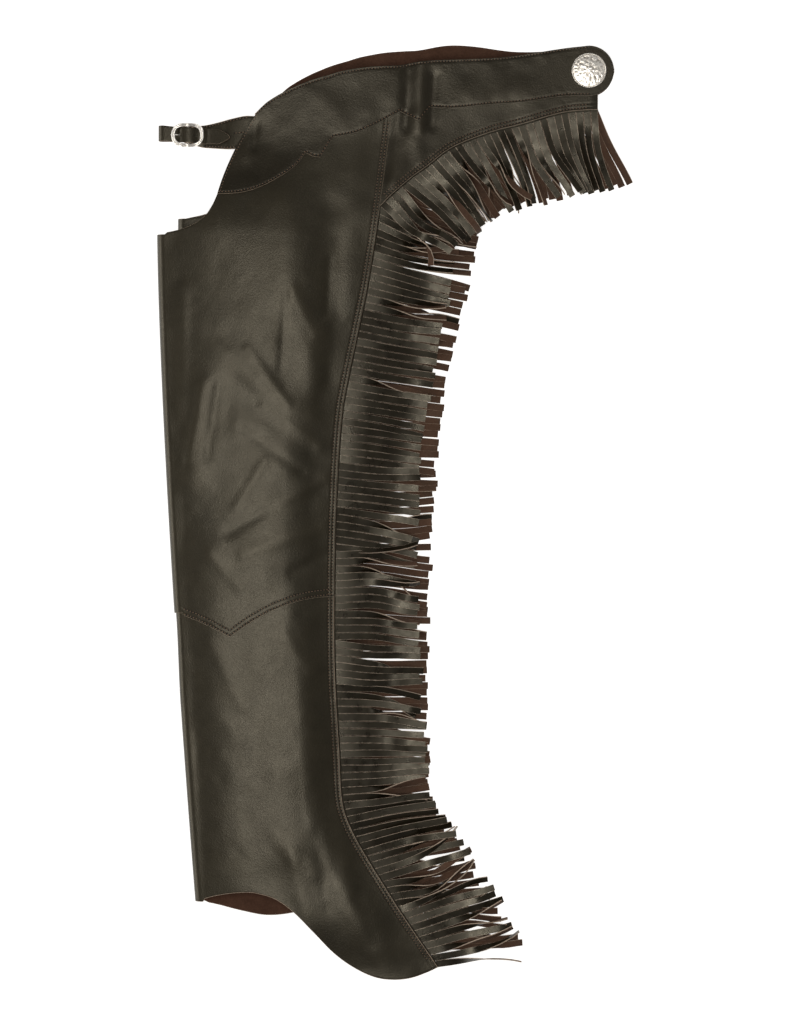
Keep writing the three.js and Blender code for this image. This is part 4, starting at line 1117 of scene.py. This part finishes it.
def lay_strip(bm, pile, line, start_z, width, arch):
    """Rests a strip on what lies so far, as high as it has to, and marks it on the pile."""
    t, x, y, heading, roll = line
    side = np.stack([-np.sin(heading), np.cos(heading)], -1)
    flatness = np.abs(np.cos(roll))
    edge_up = np.abs(np.sin(roll)) * width / 2
    fine = np.arange(PILE_STEPS * STRIP_STEPS + 1) / PILE_STEPS

    def dense(values):
        return np.interp(fine, np.arange(STRIP_STEPS + 1), values)

    reach = dense(np.maximum(flatness, 0.2)) * width
    reach_x, reach_y = dense(side[:, 0]) * reach, dense(side[:, 1]) * reach
    places = [(dense(x) + reach_x * share, dense(y) + reach_y * share) for share in STRIP_MARKS]
    below = np.max([pile.under(*place) for place in places], axis=0)
    near = [slice(max(0, k * PILE_STEPS - 3), k * PILE_STEPS + 4) for k in range(STRIP_STEPS + 1)]
    need = np.array([below[part].max() for part in near])
    need = need + FRINGE_STRIP_THICKNESS * 0.55 + edge_up
    droop = start_z - FRINGE_DROOP * t**1.2 + arch * np.sin(math.pi * np.minimum(1, 1.5 * t))
    z = np.maximum(need, droop)
    z[0] = start_z
    for _ in range(3):
        z[1:-1] = np.maximum(need[1:-1], (z[:-2] + 2 * z[1:-1] + z[2:]) / 4)
    top = dense(z + edge_up * 0.8 + FRINGE_STRIP_THICKNESS * 0.5)
    for place_x, place_y in places:
        pile.add(place_x[PILE_STEPS:], place_y[PILE_STEPS:], top[PILE_STEPS:])
    across = np.stack([side[:, 0] * np.cos(roll), side[:, 1] * np.cos(roll), np.sin(roll)], -1)
    middle = np.stack([x, y, z], -1)
    narrowing = (width * mix(0.5, 0.47, t))[:, None]
    sides = metres(np.stack([middle - across * narrowing, middle + across * narrowing], 0))
    made = bmesh.ops.create_grid(
        bm, x_segments=STRIP_STEPS, y_segments=1, size=0.5, calc_uvs=True
    )
    for vert in made["verts"]:
        row = round(vert.co.y + 0.5)
        vert.co = sides[row, round((vert.co.x + 0.5) * STRIP_STEPS)]


def make_strips(half, band, pile, bm, rng, wildness, reach):
    """Cuts a band's free edge into strips and lays them down one after another."""
    points = band_points(half, *band)
    edge, turn = points[-1], band[2]
    gaps = np.hypot(*np.diff(edge[:, :2], axis=0).T)
    lengths = np.concatenate([[0], np.cumsum(gaps)])
    count = int(round(lengths[-1] / FRINGE_PITCH))
    pitch = lengths[-1] / count
    clumps = []
    done = 0
    while done < count:
        size = min(int(rng.integers(3, 9)), count - done)
        loose = float(curve(wildness, (done + size / 2) / count)) * (1 if half is LEFT else 0.4)
        shape = {
            "turn": rng.normal(0, 0.035 + 0.13 * loose),
            "bend": rng.normal(0, 0.035 + 0.22 * loose),
            "wave": rng.normal(0, 0.02 + 0.22 * loose),
            "roll": rng.normal(0, 0.12 + 0.4 * loose),
            "arch": rng.uniform(-1.5, 3),
        }
        clump = []
        for i in range(done, done + size):
            at = (i + 0.5) * pitch
            spot = [np.interp(at, lengths, edge[:, k]) for k in range(3)]
            way = np.interp(at, lengths, turn)
            long = FRINGE_LENGTH * curve(reach, (i + 0.5) / count)
            long = long * (1 + rng.uniform(-0.03, 0.03))
            spot[0] -= FRINGE_TUCK * math.cos(way)
            spot[1] -= FRINGE_TUCK * math.sin(way)
            wild = rng.random() < loose
            line = strip_line(rng, spot, way, long, shape, wild)
            clump.append((line, spot[2]))
        done += size
        clumps.append((clump, shape["arch"]))
    order = list(range(len(clumps)))
    rng.shuffle(order)
    for k in order:
        clump, arch = clumps[k]
        for line, start_z in clump:
            width = pitch * (rng.uniform(0.87, 0.98) if half is LEFT else 0.985)
            lay_strip(bm, pile, line, start_z, width, arch)


def make_fringe(half, pile):
    rng = np.random.default_rng(half.seed)
    bm = bmesh.new()
    bm.loops.layers.uv.new("cut")
    hip, leg = hip_band(half), leg_band(half)
    make_strips(half, leg, pile, bm, rng, LEG_TANGLE, LEG_REACH[half.name])
    make_strips(half, hip, pile, bm, rng, HIP_TANGLE, HIP_REACH)
    if half is RIGHT:
        bmesh.ops.reverse_faces(bm, faces=bm.faces[:])
    made = piece_of(
        half.name + "_fringe_cut", bm, [FRINGE_GRAIN, FRINGE_FLESH, FRINGE_CUT]
    )
    thicken(made, FRINGE_STRIP_THICKNESS, 0)
    settle(made)
    to_root(made, half.name + "_fringe")
    for name, band in (("hip", hip), ("leg", leg)):
        points = band_points(half, *band)
        piece = leather_piece(
            f"{half.name}_{name}_fringe_band", half, points, YOKE_GRAIN_SHADED, edge=0
        )


# Stitching
def even_points(points, pitch):
    """Places at an even pitch along a line of points, and the way of the line there."""
    lengths = running_length(points)
    count = max(1, int(lengths[-1] / pitch))
    at = (np.arange(count) + 0.5) * lengths[-1] / count

    def along(places):
        return np.stack([np.interp(places, lengths, points[:, k]) for k in range(3)], -1)

    return along(at), along(at + 0.6) - along(at - 0.6)


def placed(spot, axes, size):
    """The matrix that puts a shape at a spot, along three axes, at a size in millimetres."""
    turn = Matrix(axes).transposed().to_4x4()
    return Matrix.Translation(spot) @ turn @ Matrix.Diagonal((*(part / 1000 for part in size), 1))


def make_stitches(name, rows, out):
    """Rows of separate thread stitches, with a near-black disc of painted shade at each awl hole.
    Each row is a line of points on the leather.
    """
    whole, batch = bmesh.new(), bmesh.new()
    spare = bpy.data.meshes.new("stitch_batch")
    places = []
    for points in rows:
        spots, ways = even_points(np.asarray(points, float), STITCH_PITCH)
        places.extend(zip(metres(spots), ways))
    for i, (spot, way) in enumerate(places):
        spot, along = Vector(spot), Vector(way).normalized()
        side = Vector((0, 0, out)).cross(along).normalized()
        up = along.cross(side)
        axes = (along, side, up)
        size = (STITCH_LENGTH / 2, STITCH_RADIUS, STITCH_RADIUS)
        bmesh.ops.create_uvsphere(
            batch, u_segments=6, v_segments=5, radius=1,
            matrix=placed(spot - up * STITCH_DIP * 0.0001, axes, size),
        )
        # each awl hole is a flat near-black disc on the leather: painted shade of the hole
        at = spot + along * STITCH_PITCH / 2000 - up * STITCH_DIP * 0.0003
        hole = bmesh.ops.create_uvsphere(
            batch, u_segments=6, v_segments=4, radius=1,
            matrix=placed(at, axes, (HOLE_RADIUS, HOLE_RADIUS, 0.16)),
        )
        for face in {face for vert in hole["verts"] for face in vert.link_faces}:
            face.material_index = 1
        if i % STITCH_BATCH == STITCH_BATCH - 1 or i + 1 == len(places):
            batch.to_mesh(spare)
            whole.from_mesh(spare)
            batch.clear()
    batch.free()
    bpy.data.meshes.remove(spare)
    made = piece_of(name, whole, [THREAD, AWL_HOLE_SHADE])
    shade(made)
    to_root(made)


def offset_line(points, by):
    """Moves a plan line sideways, to its left for a positive distance."""
    way = np.gradient(points, axis=0)
    way = way / np.maximum(1e-9, np.linalg.norm(way, axis=1))[:, None]
    return points + by * np.stack([-way[:, 1], way[:, 0]], -1)


def make_seams(half):
    """The rows of a half, each sewn through the top layer of its level."""
    rows = []

    def sew(plan, level):
        rows.append(half.outside(plan[:, 0], plan[:, 1], level))

    y = np.linspace(WAIST_RISE * 0.60, -CROTCH_TO_HEM * 1.09, 500)
    knee = knee_y(1.0)
    seam = np.stack([seam_x(y), y], -1)
    for inset in SEAM_ROWS:
        line = seam - [inset, 0]
        for part, level in ((y > knee + 1, 2), (y <= knee + 1, 1)):
            sew(line[part], level)
    across = np.linspace(0.06, 0.985, 160)
    for rise in KNEE_ROWS:
        ky = knee_y(across) + rise
        sew(np.stack([plan_x(across, ky), ky], -1), 2)
    across = np.linspace(1.03, 1.995, 160)
    for rise in HIP_ROWS:
        sew(offset_line(hip_edge_points(across), rise), hip_level(across))
    for run in YOKE_LOW:
        across = np.linspace(run[0][0], run[-1][0], 60)
        low = yoke_ends(across)[1]
        sew(low + [0.3, YOKE_ROW], 3)
    across = np.linspace(YOKE_FRONT + 0.005, 1.99, 300)
    sew(yoke_points(across, 0 * across + 0.03), 3)
    share = np.linspace(0.02, 0.98, 60)
    front = yoke_points(0 * share + YOKE_FRONT, share)
    sew(front + [2.4, 0], 3)
    make_stitches(half.name + "_seam_stitches", rows, half.out)


# The zip under the outer seam
TOOTH_SIZE = (1.7, 4.2, 1.4)
TOOTH_PITCH = 3.2
TOOTH_STAGGER = 0.9
TAPE_THICKNESS = 0.6


def make_zip(half):
    top, bottom = 0.05 * WAIST_RISE, -CROTCH_TO_HEM * 0.972
    y = spaced(top, bottom, top - bottom, 4)
    level = ease((y - knee_y(1.0)) / 10)
    rows = []
    for across in np.linspace(HIP_FRONT, 1, 4):
        points = half.inside(plan_x(across, y), y, level, 0)
        points[:, 2] += half.out * (CLEARANCE + TAPE_THICKNESS)
        rows.append(points)
    bm = grid_of(np.stack(rows, 0))
    face_out(bm, half.out)
    tape = piece_of(half.name + "_zip_tape", bm, [ZIP_TAPE, ZIP_TAPE, ZIP_TAPE])
    thicken(tape, TAPE_THICKNESS, 0)
    settle(tape)
    to_root(tape, half.name + "_side_zip")
    teeth = bmesh.new()
    spots, ways = even_points(rows[1], TOOTH_PITCH)
    for i, (spot, way) in enumerate(zip(metres(spots), ways)):
        along = Vector(way).normalized()
        side = Vector((0, 0, 1)).cross(along).normalized()
        shift = side * (1 if i % 2 else -1) * TOOTH_STAGGER / 1000
        at = Vector(spot) + shift + Vector((0, 0, 0.0005 * half.out))
        axes = (along, side, along.cross(side))
        bmesh.ops.create_cube(teeth, size=1, matrix=placed(at, axes, TOOTH_SIZE))
    bmesh.ops.bevel(
        teeth, geom=teeth.edges[:], offset=0.0003, affect="EDGES", segments=1, profile=0.5,
        material=-1,
    )
    chain = piece_of(half.name + "_zip_teeth", teeth, [NICKEL])
    to_root(chain)


# Straps and buckle
BILLET_BOTTOM = float(right_outer(0.0, STRAP_Y)) - 2 * PLY - LEATHER / 2 + STRAP_SLACK
BILLET_TOP = BILLET_BOTTOM + 2 * STRAP_FOLD_RADIUS
BAR_HEIGHT = BILLET_TOP - BUCKLE_BAR_DROP
FRAME_HEIGHT = BILLET_TOP + LEATHER / 2 + CLEARANCE + BUCKLE_THICKNESS / 2
OVER_BAR = BAR_HEIGHT + BUCKLE_BAR_RADIUS + 3 * CLEARANCE + 1.5 * LEATHER


def strap_y(x):
    return STRAP_Y + STRAP_TILT * x


def buckle_x(share):
    return BUCKLE_X + share * BUCKLE_LENGTH / 2


def yoke_front_x(half, y):
    own_y = y - half.plan(0.0, y)[1] + y
    share = np.linspace(0, 1, 200)
    edge = yoke_points(0 * share + YOKE_FRONT, share)
    x = float(np.interp(own_y, edge[::-1, 1], edge[::-1, 0]))
    return float(half.plan(x, own_y)[0])


LEFT_FRONT = yoke_front_x(LEFT, STRAP_Y)
RIGHT_FRONT = yoke_front_x(RIGHT, STRAP_Y)


def tab_height(x):
    yoke_x = LEFT_FRONT - SEAM_LAP
    high = float(left_outer(yoke_x, STRAP_Y)) + 2 * PLY + LEATHER / 2 - STRAP_SLACK
    share = clamp01((x - buckle_x(1)) / (yoke_x - buckle_x(1)))
    return mix(BILLET_TOP - PLY, high, share)


def smooth_rows(rows, step):
    """A smooth line through rows of (x, y, z, width), at an even step."""
    rows = np.array(rows, float)
    lengths = running_length(rows[:, :3])
    at = spaced(0, lengths[-1], lengths[-1], step)
    return np.stack([curve(list(zip(lengths, rows[:, k])), at) for k in range(4)], -1)


def strap_sheet(rows, tip=0.0):
    """Points of a strap on its grain face. tip is the length of its pointed end."""
    way = unit(np.gradient(rows[:, [0, 2]], axis=0))
    lengths = running_length(rows[:, :3])
    left = lengths[-1] - lengths
    taper = clamp01(left / tip) ** 0.72 * 0.95 + 0.05 if tip else np.ones(len(rows))
    sides = []
    for share in np.linspace(-0.5, 0.5, STRAP_COLUMNS):
        y = rows[:, 1] + share * rows[:, 3] * taper
        x = rows[:, 0] - way[:, 1] * LEATHER / 2
        z = rows[:, 2] + way[:, 0] * LEATHER / 2
        sides.append(np.stack([x, y, z], -1))
    return np.stack(sides, 1)


def billet_rows():
    rows = [
        (RIGHT_FRONT + SEAM_LAP, STRAP_Y, BILLET_BOTTOM, STRAP_WIDTH),
        (RIGHT_FRONT - SEAM_LAP, STRAP_Y, BILLET_BOTTOM, STRAP_WIDTH),
        (0.5 * RIGHT_FRONT, STRAP_Y, BILLET_BOTTOM, STRAP_WIDTH),
    ]
    for i in range(9):
        turn = math.pi * (-0.5 + i / 8)
        x = BILLET_FRONT_X + STRAP_FOLD_RADIUS * (1 - math.cos(turn))
        z = BILLET_BOTTOM + STRAP_FOLD_RADIUS * (1 + math.sin(turn))
        rows.append((x, STRAP_Y, z, STRAP_WIDTH))
    for share in (-1, -0.6, -0.33, -0.16, 0, 0.16, 0.33, 0.6, 1):
        away = 1 if abs(share) >= 0.6 else 1 - math.cos(abs(share) / 0.6 * math.pi / 2) ** 0.9
        x = buckle_x(share)
        rows.append((x, strap_y(x), mix(OVER_BAR, BILLET_TOP, away), STRAP_WIDTH))
    for share in (0.3, 0.55, 0.8, 1):
        x = mix(buckle_x(1), BILLET_TIP_X, share)
        rows.append((x, strap_y(x), tab_height(x) + PLY + CLEARANCE, STRAP_WIDTH - 1))
    return smooth_rows(rows, STRAP_STEP)


def tab_rows():
    rows = []
    for past in (SEAM_LAP, 0):
        x = LEFT_FRONT + past
        z = float(left_outer(x, STRAP_Y)) + 2 * PLY + LEATHER / 2 - STRAP_SLACK
        rows.append((x, STRAP_Y, z, TAB_WIDTH))
    for share, wide in ((0.62, 0.86), (0.4, 0.7), (0.2, 0.55), (0, 0.42)):
        x = mix(buckle_x(1), LEFT_FRONT, share)
        y = mix(strap_y(x), STRAP_Y, share)
        rows.append((x, y, tab_height(x), mix(STRAP_WIDTH, TAB_WIDTH, wide)))
    x = buckle_x(0.6)
    rows.append((x, strap_y(x), BILLET_TOP - PLY, mix(STRAP_WIDTH, TAB_WIDTH, 0.3)))
    reach = BUCKLE_BAR_RADIUS + CLEARANCE + LEATHER / 2
    turns = [math.pi * (-0.5 - i / 6) for i in range(7)]
    loop = [(BUCKLE_X + reach * math.cos(turn), math.sin(turn)) for turn in turns]
    for x, rise in loop + [(buckle_x(0.16), 0.85), (buckle_x(0.3), 0.5)]:
        rows.append((x, strap_y(x), BAR_HEIGHT + rise * reach, STRAP_WIDTH))
    return smooth_rows(rows, STRAP_STEP)


def strap_piece(name, points, node):
    bm = grid_of(points)
    face_out(bm, 1)
    made = piece_of(name, bm, [STRAP_GRAIN, FLESH, CUT_EDGE])
    thicken(made)
    settle(made)
    ridge_attribute(made, RIGHT)
    to_root(made, node)
    return made


def cut_out(made, cutter):
    """Cuts a shape out of a piece, such as a punched hole."""
    cut = made.modifiers.new("cut", "BOOLEAN")
    cut.operation = "DIFFERENCE"
    cut.solver = "EXACT"
    cut.object = cutter
    settle(made)
    bpy.data.objects.remove(cutter)


def tube(name, path, radius, closed=False):
    """A round bar along a path of points, with one radius or one for each point."""
    path = np.asarray(path, float)
    way = np.roll(path, -1, 0) - np.roll(path, 1, 0) if closed else np.gradient(path, axis=0)
    way = unit(way)
    side = unit(np.cross(way, [0, 0, 1.0]))
    up = np.cross(side, way)
    turn = np.linspace(0, 2 * math.pi, TUBE_SIDES + 1)
    ring = side[:, None] * np.cos(turn)[None, :, None] + up[:, None] * np.sin(turn)[None, :, None]
    points = path[:, None] + ring * np.asarray(radius, float).reshape(-1, 1, 1)
    if closed:
        points = np.concatenate([points, points[:1]], 0)
    bm = grid_of(points)
    bmesh.ops.remove_doubles(bm, verts=bm.verts[:], dist=1e-6)
    if not closed:
        open_edges = [edge for edge in bm.edges if edge.is_boundary]
        bmesh.ops.holes_fill(bm, edges=open_edges, sides=0)
    bmesh.ops.recalc_face_normals(bm, faces=bm.faces[:])
    made = piece_of(name, bm, [NICKEL])
    shade(made, math.radians(50))
    return to_root(made)


def ring_path(outset, lift):
    """The buckle's squared oval, with its ends higher than its bar."""
    long = (BUCKLE_LENGTH - BUCKLE_BAND) / 2
    wide = (BUCKLE_WIDTH - BUCKLE_BAND) / 2
    power = 2 / BUCKLE_SQUARENESS
    turn = np.linspace(0, 2 * math.pi, 2000)
    x = np.sign(np.cos(turn)) * np.abs(np.cos(turn)) ** power
    y = np.sign(np.sin(turn)) * np.abs(np.sin(turn)) ** power
    lengths = running_length(np.stack([x * long, y * wide], -1))
    at = np.arange(RING_STEPS) * lengths[-1] / RING_STEPS
    x, y = np.interp(at, lengths, x), np.interp(at, lengths, y)
    flat = np.stack([x * long, y * wide], -1)
    along = unit(np.roll(flat, -1, 0) - np.roll(flat, 1, 0))
    flat = flat + outset * np.stack([along[:, 1], -along[:, 0]], -1)
    z = mix(BAR_HEIGHT + RING_OVER_BAR, FRAME_HEIGHT, ease(np.abs(x) / 0.6)) + lift
    return np.stack([BUCKLE_X + flat[:, 0], strap_y(BUCKLE_X) + flat[:, 1], z], -1)


def make_buckle():
    outer = tube("buckle_ring", ring_path(0.95, -0.05), 1.18, closed=True)
    tube("buckle_inner_ring", ring_path(-1.0, 0.12), 1.02, closed=True)
    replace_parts(outer, "buckle_frame")
    half_width = (BUCKLE_WIDTH - BUCKLE_BAND) / 2
    y = np.linspace(-half_width, half_width, 9) + strap_y(BUCKLE_X)
    bar = np.stack([0 * y + BUCKLE_X, y, 0 * y + BAR_HEIGHT], -1)
    tube("buckle_bar", bar, BUCKLE_BAR_RADIUS)
    on_frame = FRAME_HEIGHT + BUCKLE_THICKNESS / 2 + CLEARANCE + TONGUE_RADIUS
    rows = [
        (-0.1, BAR_HEIGHT + 0.3 * TONGUE_RADIUS),
        (-0.3, BAR_HEIGHT + 0.9 * TONGUE_RADIUS),
        (-0.43, BILLET_TOP + 0.45 * TONGUE_RADIUS),
        (-0.66, mix(BILLET_TOP, on_frame, 0.8)),
        (-0.8, on_frame),
        (-1.02, on_frame - 0.15),
    ]
    rows = smooth_rows([(buckle_x(s), strap_y(BUCKLE_X), z, 1) for s, z in rows], TONGUE_STEP)
    radius = TONGUE_RADIUS * mix(1.15, 0.75, np.linspace(0, 1, len(rows)))
    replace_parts(tube("buckle_prong", rows[:, :3], radius), "buckle_tongue")


def make_straps():
    billet = strap_piece(
        "billet_leather", strap_sheet(billet_rows(), 13), "billet_strap"
    )
    strap_piece("tab_leather", strap_sheet(tab_rows()), "buckle_tab")
    hole = bmesh.new()
    at = metres([PUNCHED_HOLE_X, strap_y(PUNCHED_HOLE_X), OVER_BAR])
    radius = PUNCHED_HOLE_RADIUS / 1000
    bmesh.ops.create_cone(
        hole, cap_ends=True, segments=20, radius1=radius, radius2=radius, depth=0.009,
        matrix=Matrix.Translation(Vector(at)),
    )
    cut_out(billet, piece_of("punch", hole, []))
    rows = []
    line = tab_rows()
    on_tab = line[(line[:, 0] > buckle_x(1.05)) & (line[:, 0] < LEFT_FRONT + 4)]
    for side in (-1, 1):
        y = on_tab[:, 1] + side * (on_tab[:, 3] / 2 - STRAP_ROW_INSET)
        rows.append(np.stack([on_tab[:, 0], y, on_tab[:, 2] + LEATHER / 2], -1))
    middle = on_tab[on_tab[:, 0] > 84]
    rows.append(np.stack([middle[:, 0], middle[:, 1], middle[:, 2] + LEATHER / 2], -1))
    make_stitches("strap_stitches", rows, 1)


# Concho and its screw
def lathe(profile, steps):
    """A turned shape from (radius, height) pairs, closed at its middle."""
    bm = bmesh.new()
    verts = [bm.verts.new((radius / 1000, 0, height / 1000)) for radius, height in profile]
    edges = [bm.edges.new(pair) for pair in zip(verts, verts[1:])]
    bmesh.ops.spin(
        bm, geom=verts + edges, axis=(0, 0, 1), cent=(0, 0, 0), dvec=(0, 0, 0),
        angle=2 * math.pi, steps=steps, use_merge=True, use_duplicate=False,
    )
    bmesh.ops.remove_doubles(bm, verts=bm.verts[:], dist=1e-6)
    bmesh.ops.recalc_face_normals(bm, faces=bm.faces[:])
    return bm


CONCHO_BASE = float(LEFT.outside(CONCHO_X, CONCHO_Y, 3)[2]) + CLEARANCE


def relief(radius, turn):
    """Height of the concho's engraved flower and scrolls above its face."""
    petals = np.cos(12 * turn) * np.exp(-(((radius - 0.56) / 0.13) ** 2))
    scroll = np.cos(24 * turn + 10 * radius) * np.exp(-(((radius - 0.78) / 0.07) ** 2))
    heart = np.cos(8 * turn) * np.exp(-(((radius - 0.27) / 0.08) ** 2))
    rings = np.cos(34 * radius) * 0.25
    x, y = radius * np.cos(turn), radius * np.sin(turn)
    chased = hills(x, y, 0.13, 21) + 0.6 * hills(x, y, 0.07, 22)
    return 0.09 * petals + 0.11 * scroll + 0.10 * heart + 0.03 * rings + 0.16 * chased


def make_concho():
    face = [
        (r * CONCHO_RADIUS, CONCHO_RIM * 0.75 + (CONCHO_DOME - CONCHO_RIM) * (1 - r**2) ** 1.2)
        for r in np.linspace(0, CONCHO_FACE, 44)
    ]
    rim = [(0.945, 0.62), (0.955, 0.86), (0.975, 1.0), (0.992, 0.86), (1.0, 0.6), (1.0, 0.05)]
    rim = [(r * CONCHO_RADIUS, h * CONCHO_RIM) for r, h in rim]
    profile = face + rim + [(0.985 * CONCHO_RADIUS, 0), (0, 0)]
    bm = lathe(profile, 144)
    recess = bm.verts.layers.float.new("recess")
    for vert in bm.verts:
        r = math.hypot(vert.co.x, vert.co.y) * 1000 / CONCHO_RADIUS
        if vert.co.z * 1000 > CONCHO_RIM * 0.7 and r < CONCHO_FACE:
            turn = math.atan2(vert.co.y, vert.co.x)
            height = float(relief(r, turn)) * min(1, (CONCHO_FACE - r) / 0.06)
            vert.co.z += height / 1000
            vert[recess] = min(1, max(0, -3.2 * height))
        elif 0.9 < r < 0.95:
            vert[recess] = 0.7
    centre = metres([CONCHO_X, CONCHO_Y, CONCHO_BASE])
    bmesh.ops.translate(bm, verts=bm.verts[:], vec=Vector(centre))
    disc = piece_of("concho_disc", bm, [SILVER])
    shade(disc, math.radians(48))
    to_root(disc, "concho")
    beads = bmesh.new()
    for i in range(CONCHO_BEADS):
        turn = 2 * math.pi * i / CONCHO_BEADS
        on_rim = Vector((0.965 * math.cos(turn), 0.965 * math.sin(turn), 0))
        at = Vector(centre) + on_rim * CONCHO_RADIUS / 1000
        at.z += CONCHO_RIM / 1000
        place = Matrix.Translation(at) @ Matrix.Rotation(turn + 0.6, 4, "Z")
        size = Matrix.Diagonal((0.00105, 0.00062, 0.00042, 1))
        bmesh.ops.create_uvsphere(beads, u_segments=8, v_segments=5, radius=1, matrix=place @ size)
    rope = piece_of("concho_rope_edge", beads, [SILVER])
    shade(rope)
    to_root(rope)


def make_screw():
    under = float(RIGHT.outside(CONCHO_X, CONCHO_Y, 3)[2])
    cap_top = under - CLEARANCE
    cap = [
        (0, cap_top - SCREW_CAP_THICKNESS), (2.6, cap_top - SCREW_CAP_THICKNESS),
        (5.2, cap_top - 1.35), (6.2, cap_top - 0.9), (6.5, cap_top - 0.4), (6.4, cap_top),
        (2.4, cap_top), (2.4, CONCHO_BASE), (0, CONCHO_BASE),
    ]
    bm = lathe(cap, 40)
    bmesh.ops.translate(bm, verts=bm.verts[:], vec=Vector(metres([CONCHO_X, CONCHO_Y, 0])))
    made = piece_of("concho_screw_post", bm, [NICKEL])
    shade(made, CRISP)
    to_root(made, "concho_screw")


# Floor, light and camera
FLOOR_DROP = 0.0006
CAMERA_HEIGHT = 3.5
CAMERA_LENS = 110.7


def make_studio():
    bm = bmesh.new()
    bmesh.ops.create_grid(bm, x_segments=1, y_segments=1, size=6)
    bmesh.ops.translate(bm, verts=bm.verts[:], vec=(0, 0, -FLOOR_DROP))
    floor = piece_of("floor", bm, [])
    finish = Finish("studio_floor")
    for socket, value in (
        ("Base Color", (0.9, 0.9, 0.9, 1)),
        ("Roughness", 0.9),
        ("Emission Color", (1, 1, 1, 1)),
        ("Emission Strength", 0.7),
    ):
        finish.shader.inputs[socket].default_value = value
    floor.data.materials.append(finish.material)
    world = bpy.data.worlds.new("studio")
    bpy.context.scene.world = world
    world.use_nodes = True
    background = world.node_tree.nodes["Background"]
    background.inputs["Color"].default_value = (1, 1, 1, 1)
    background.inputs["Strength"].default_value = 0.17
    for name, place, aim, size, power in (
        ("overhead", (-0.09, -0.2, 2.4), (-0.09, -0.2, 0), (0.7, 1.5), 26),
        ("left", (-2.2, 0.0, 0.60), (-0.1, 0, 0), (0.5, 2.4), 26),
        ("rear", (1.8, 2.2, 1.3), (0.1, 0, 0), (1.2, 1.2), 12),
    ):
        light = bpy.data.lights.new(name, "AREA")
        light.shape = "RECTANGLE"
        light.size, light.size_y = size
        light.energy = power
        light.color = (1, 0.965, 0.9)
        lamp = bpy.data.objects.new(name, light)
        lamp.location = place
        away = (Vector(place) - Vector(aim)).normalized()
        side = Vector((0, 1, 0)).cross(away).normalized()
        lamp.rotation_euler = Matrix((side, away.cross(side), away)).transposed().to_euler()
        lamp.visible_camera = False
        collection.objects.link(lamp)
    camera = bpy.data.cameras.new("camera")
    camera.lens = CAMERA_LENS
    eye = bpy.data.objects.new("camera", camera)
    eye.location = (0.001, -0.001, CAMERA_HEIGHT)
    collection.objects.link(eye)
    bpy.context.scene.camera = eye
    bpy.context.scene.view_settings.view_transform = "Standard"


make_studio()
pile = Pile()
for side in (RIGHT, LEFT):
    make_leg(side)
    make_yoke(side)
    make_fringe(side, pile)
    make_hip(side)
    make_seams(side)
    make_zip(side)
make_buckle()
make_straps()
make_concho()
make_screw()
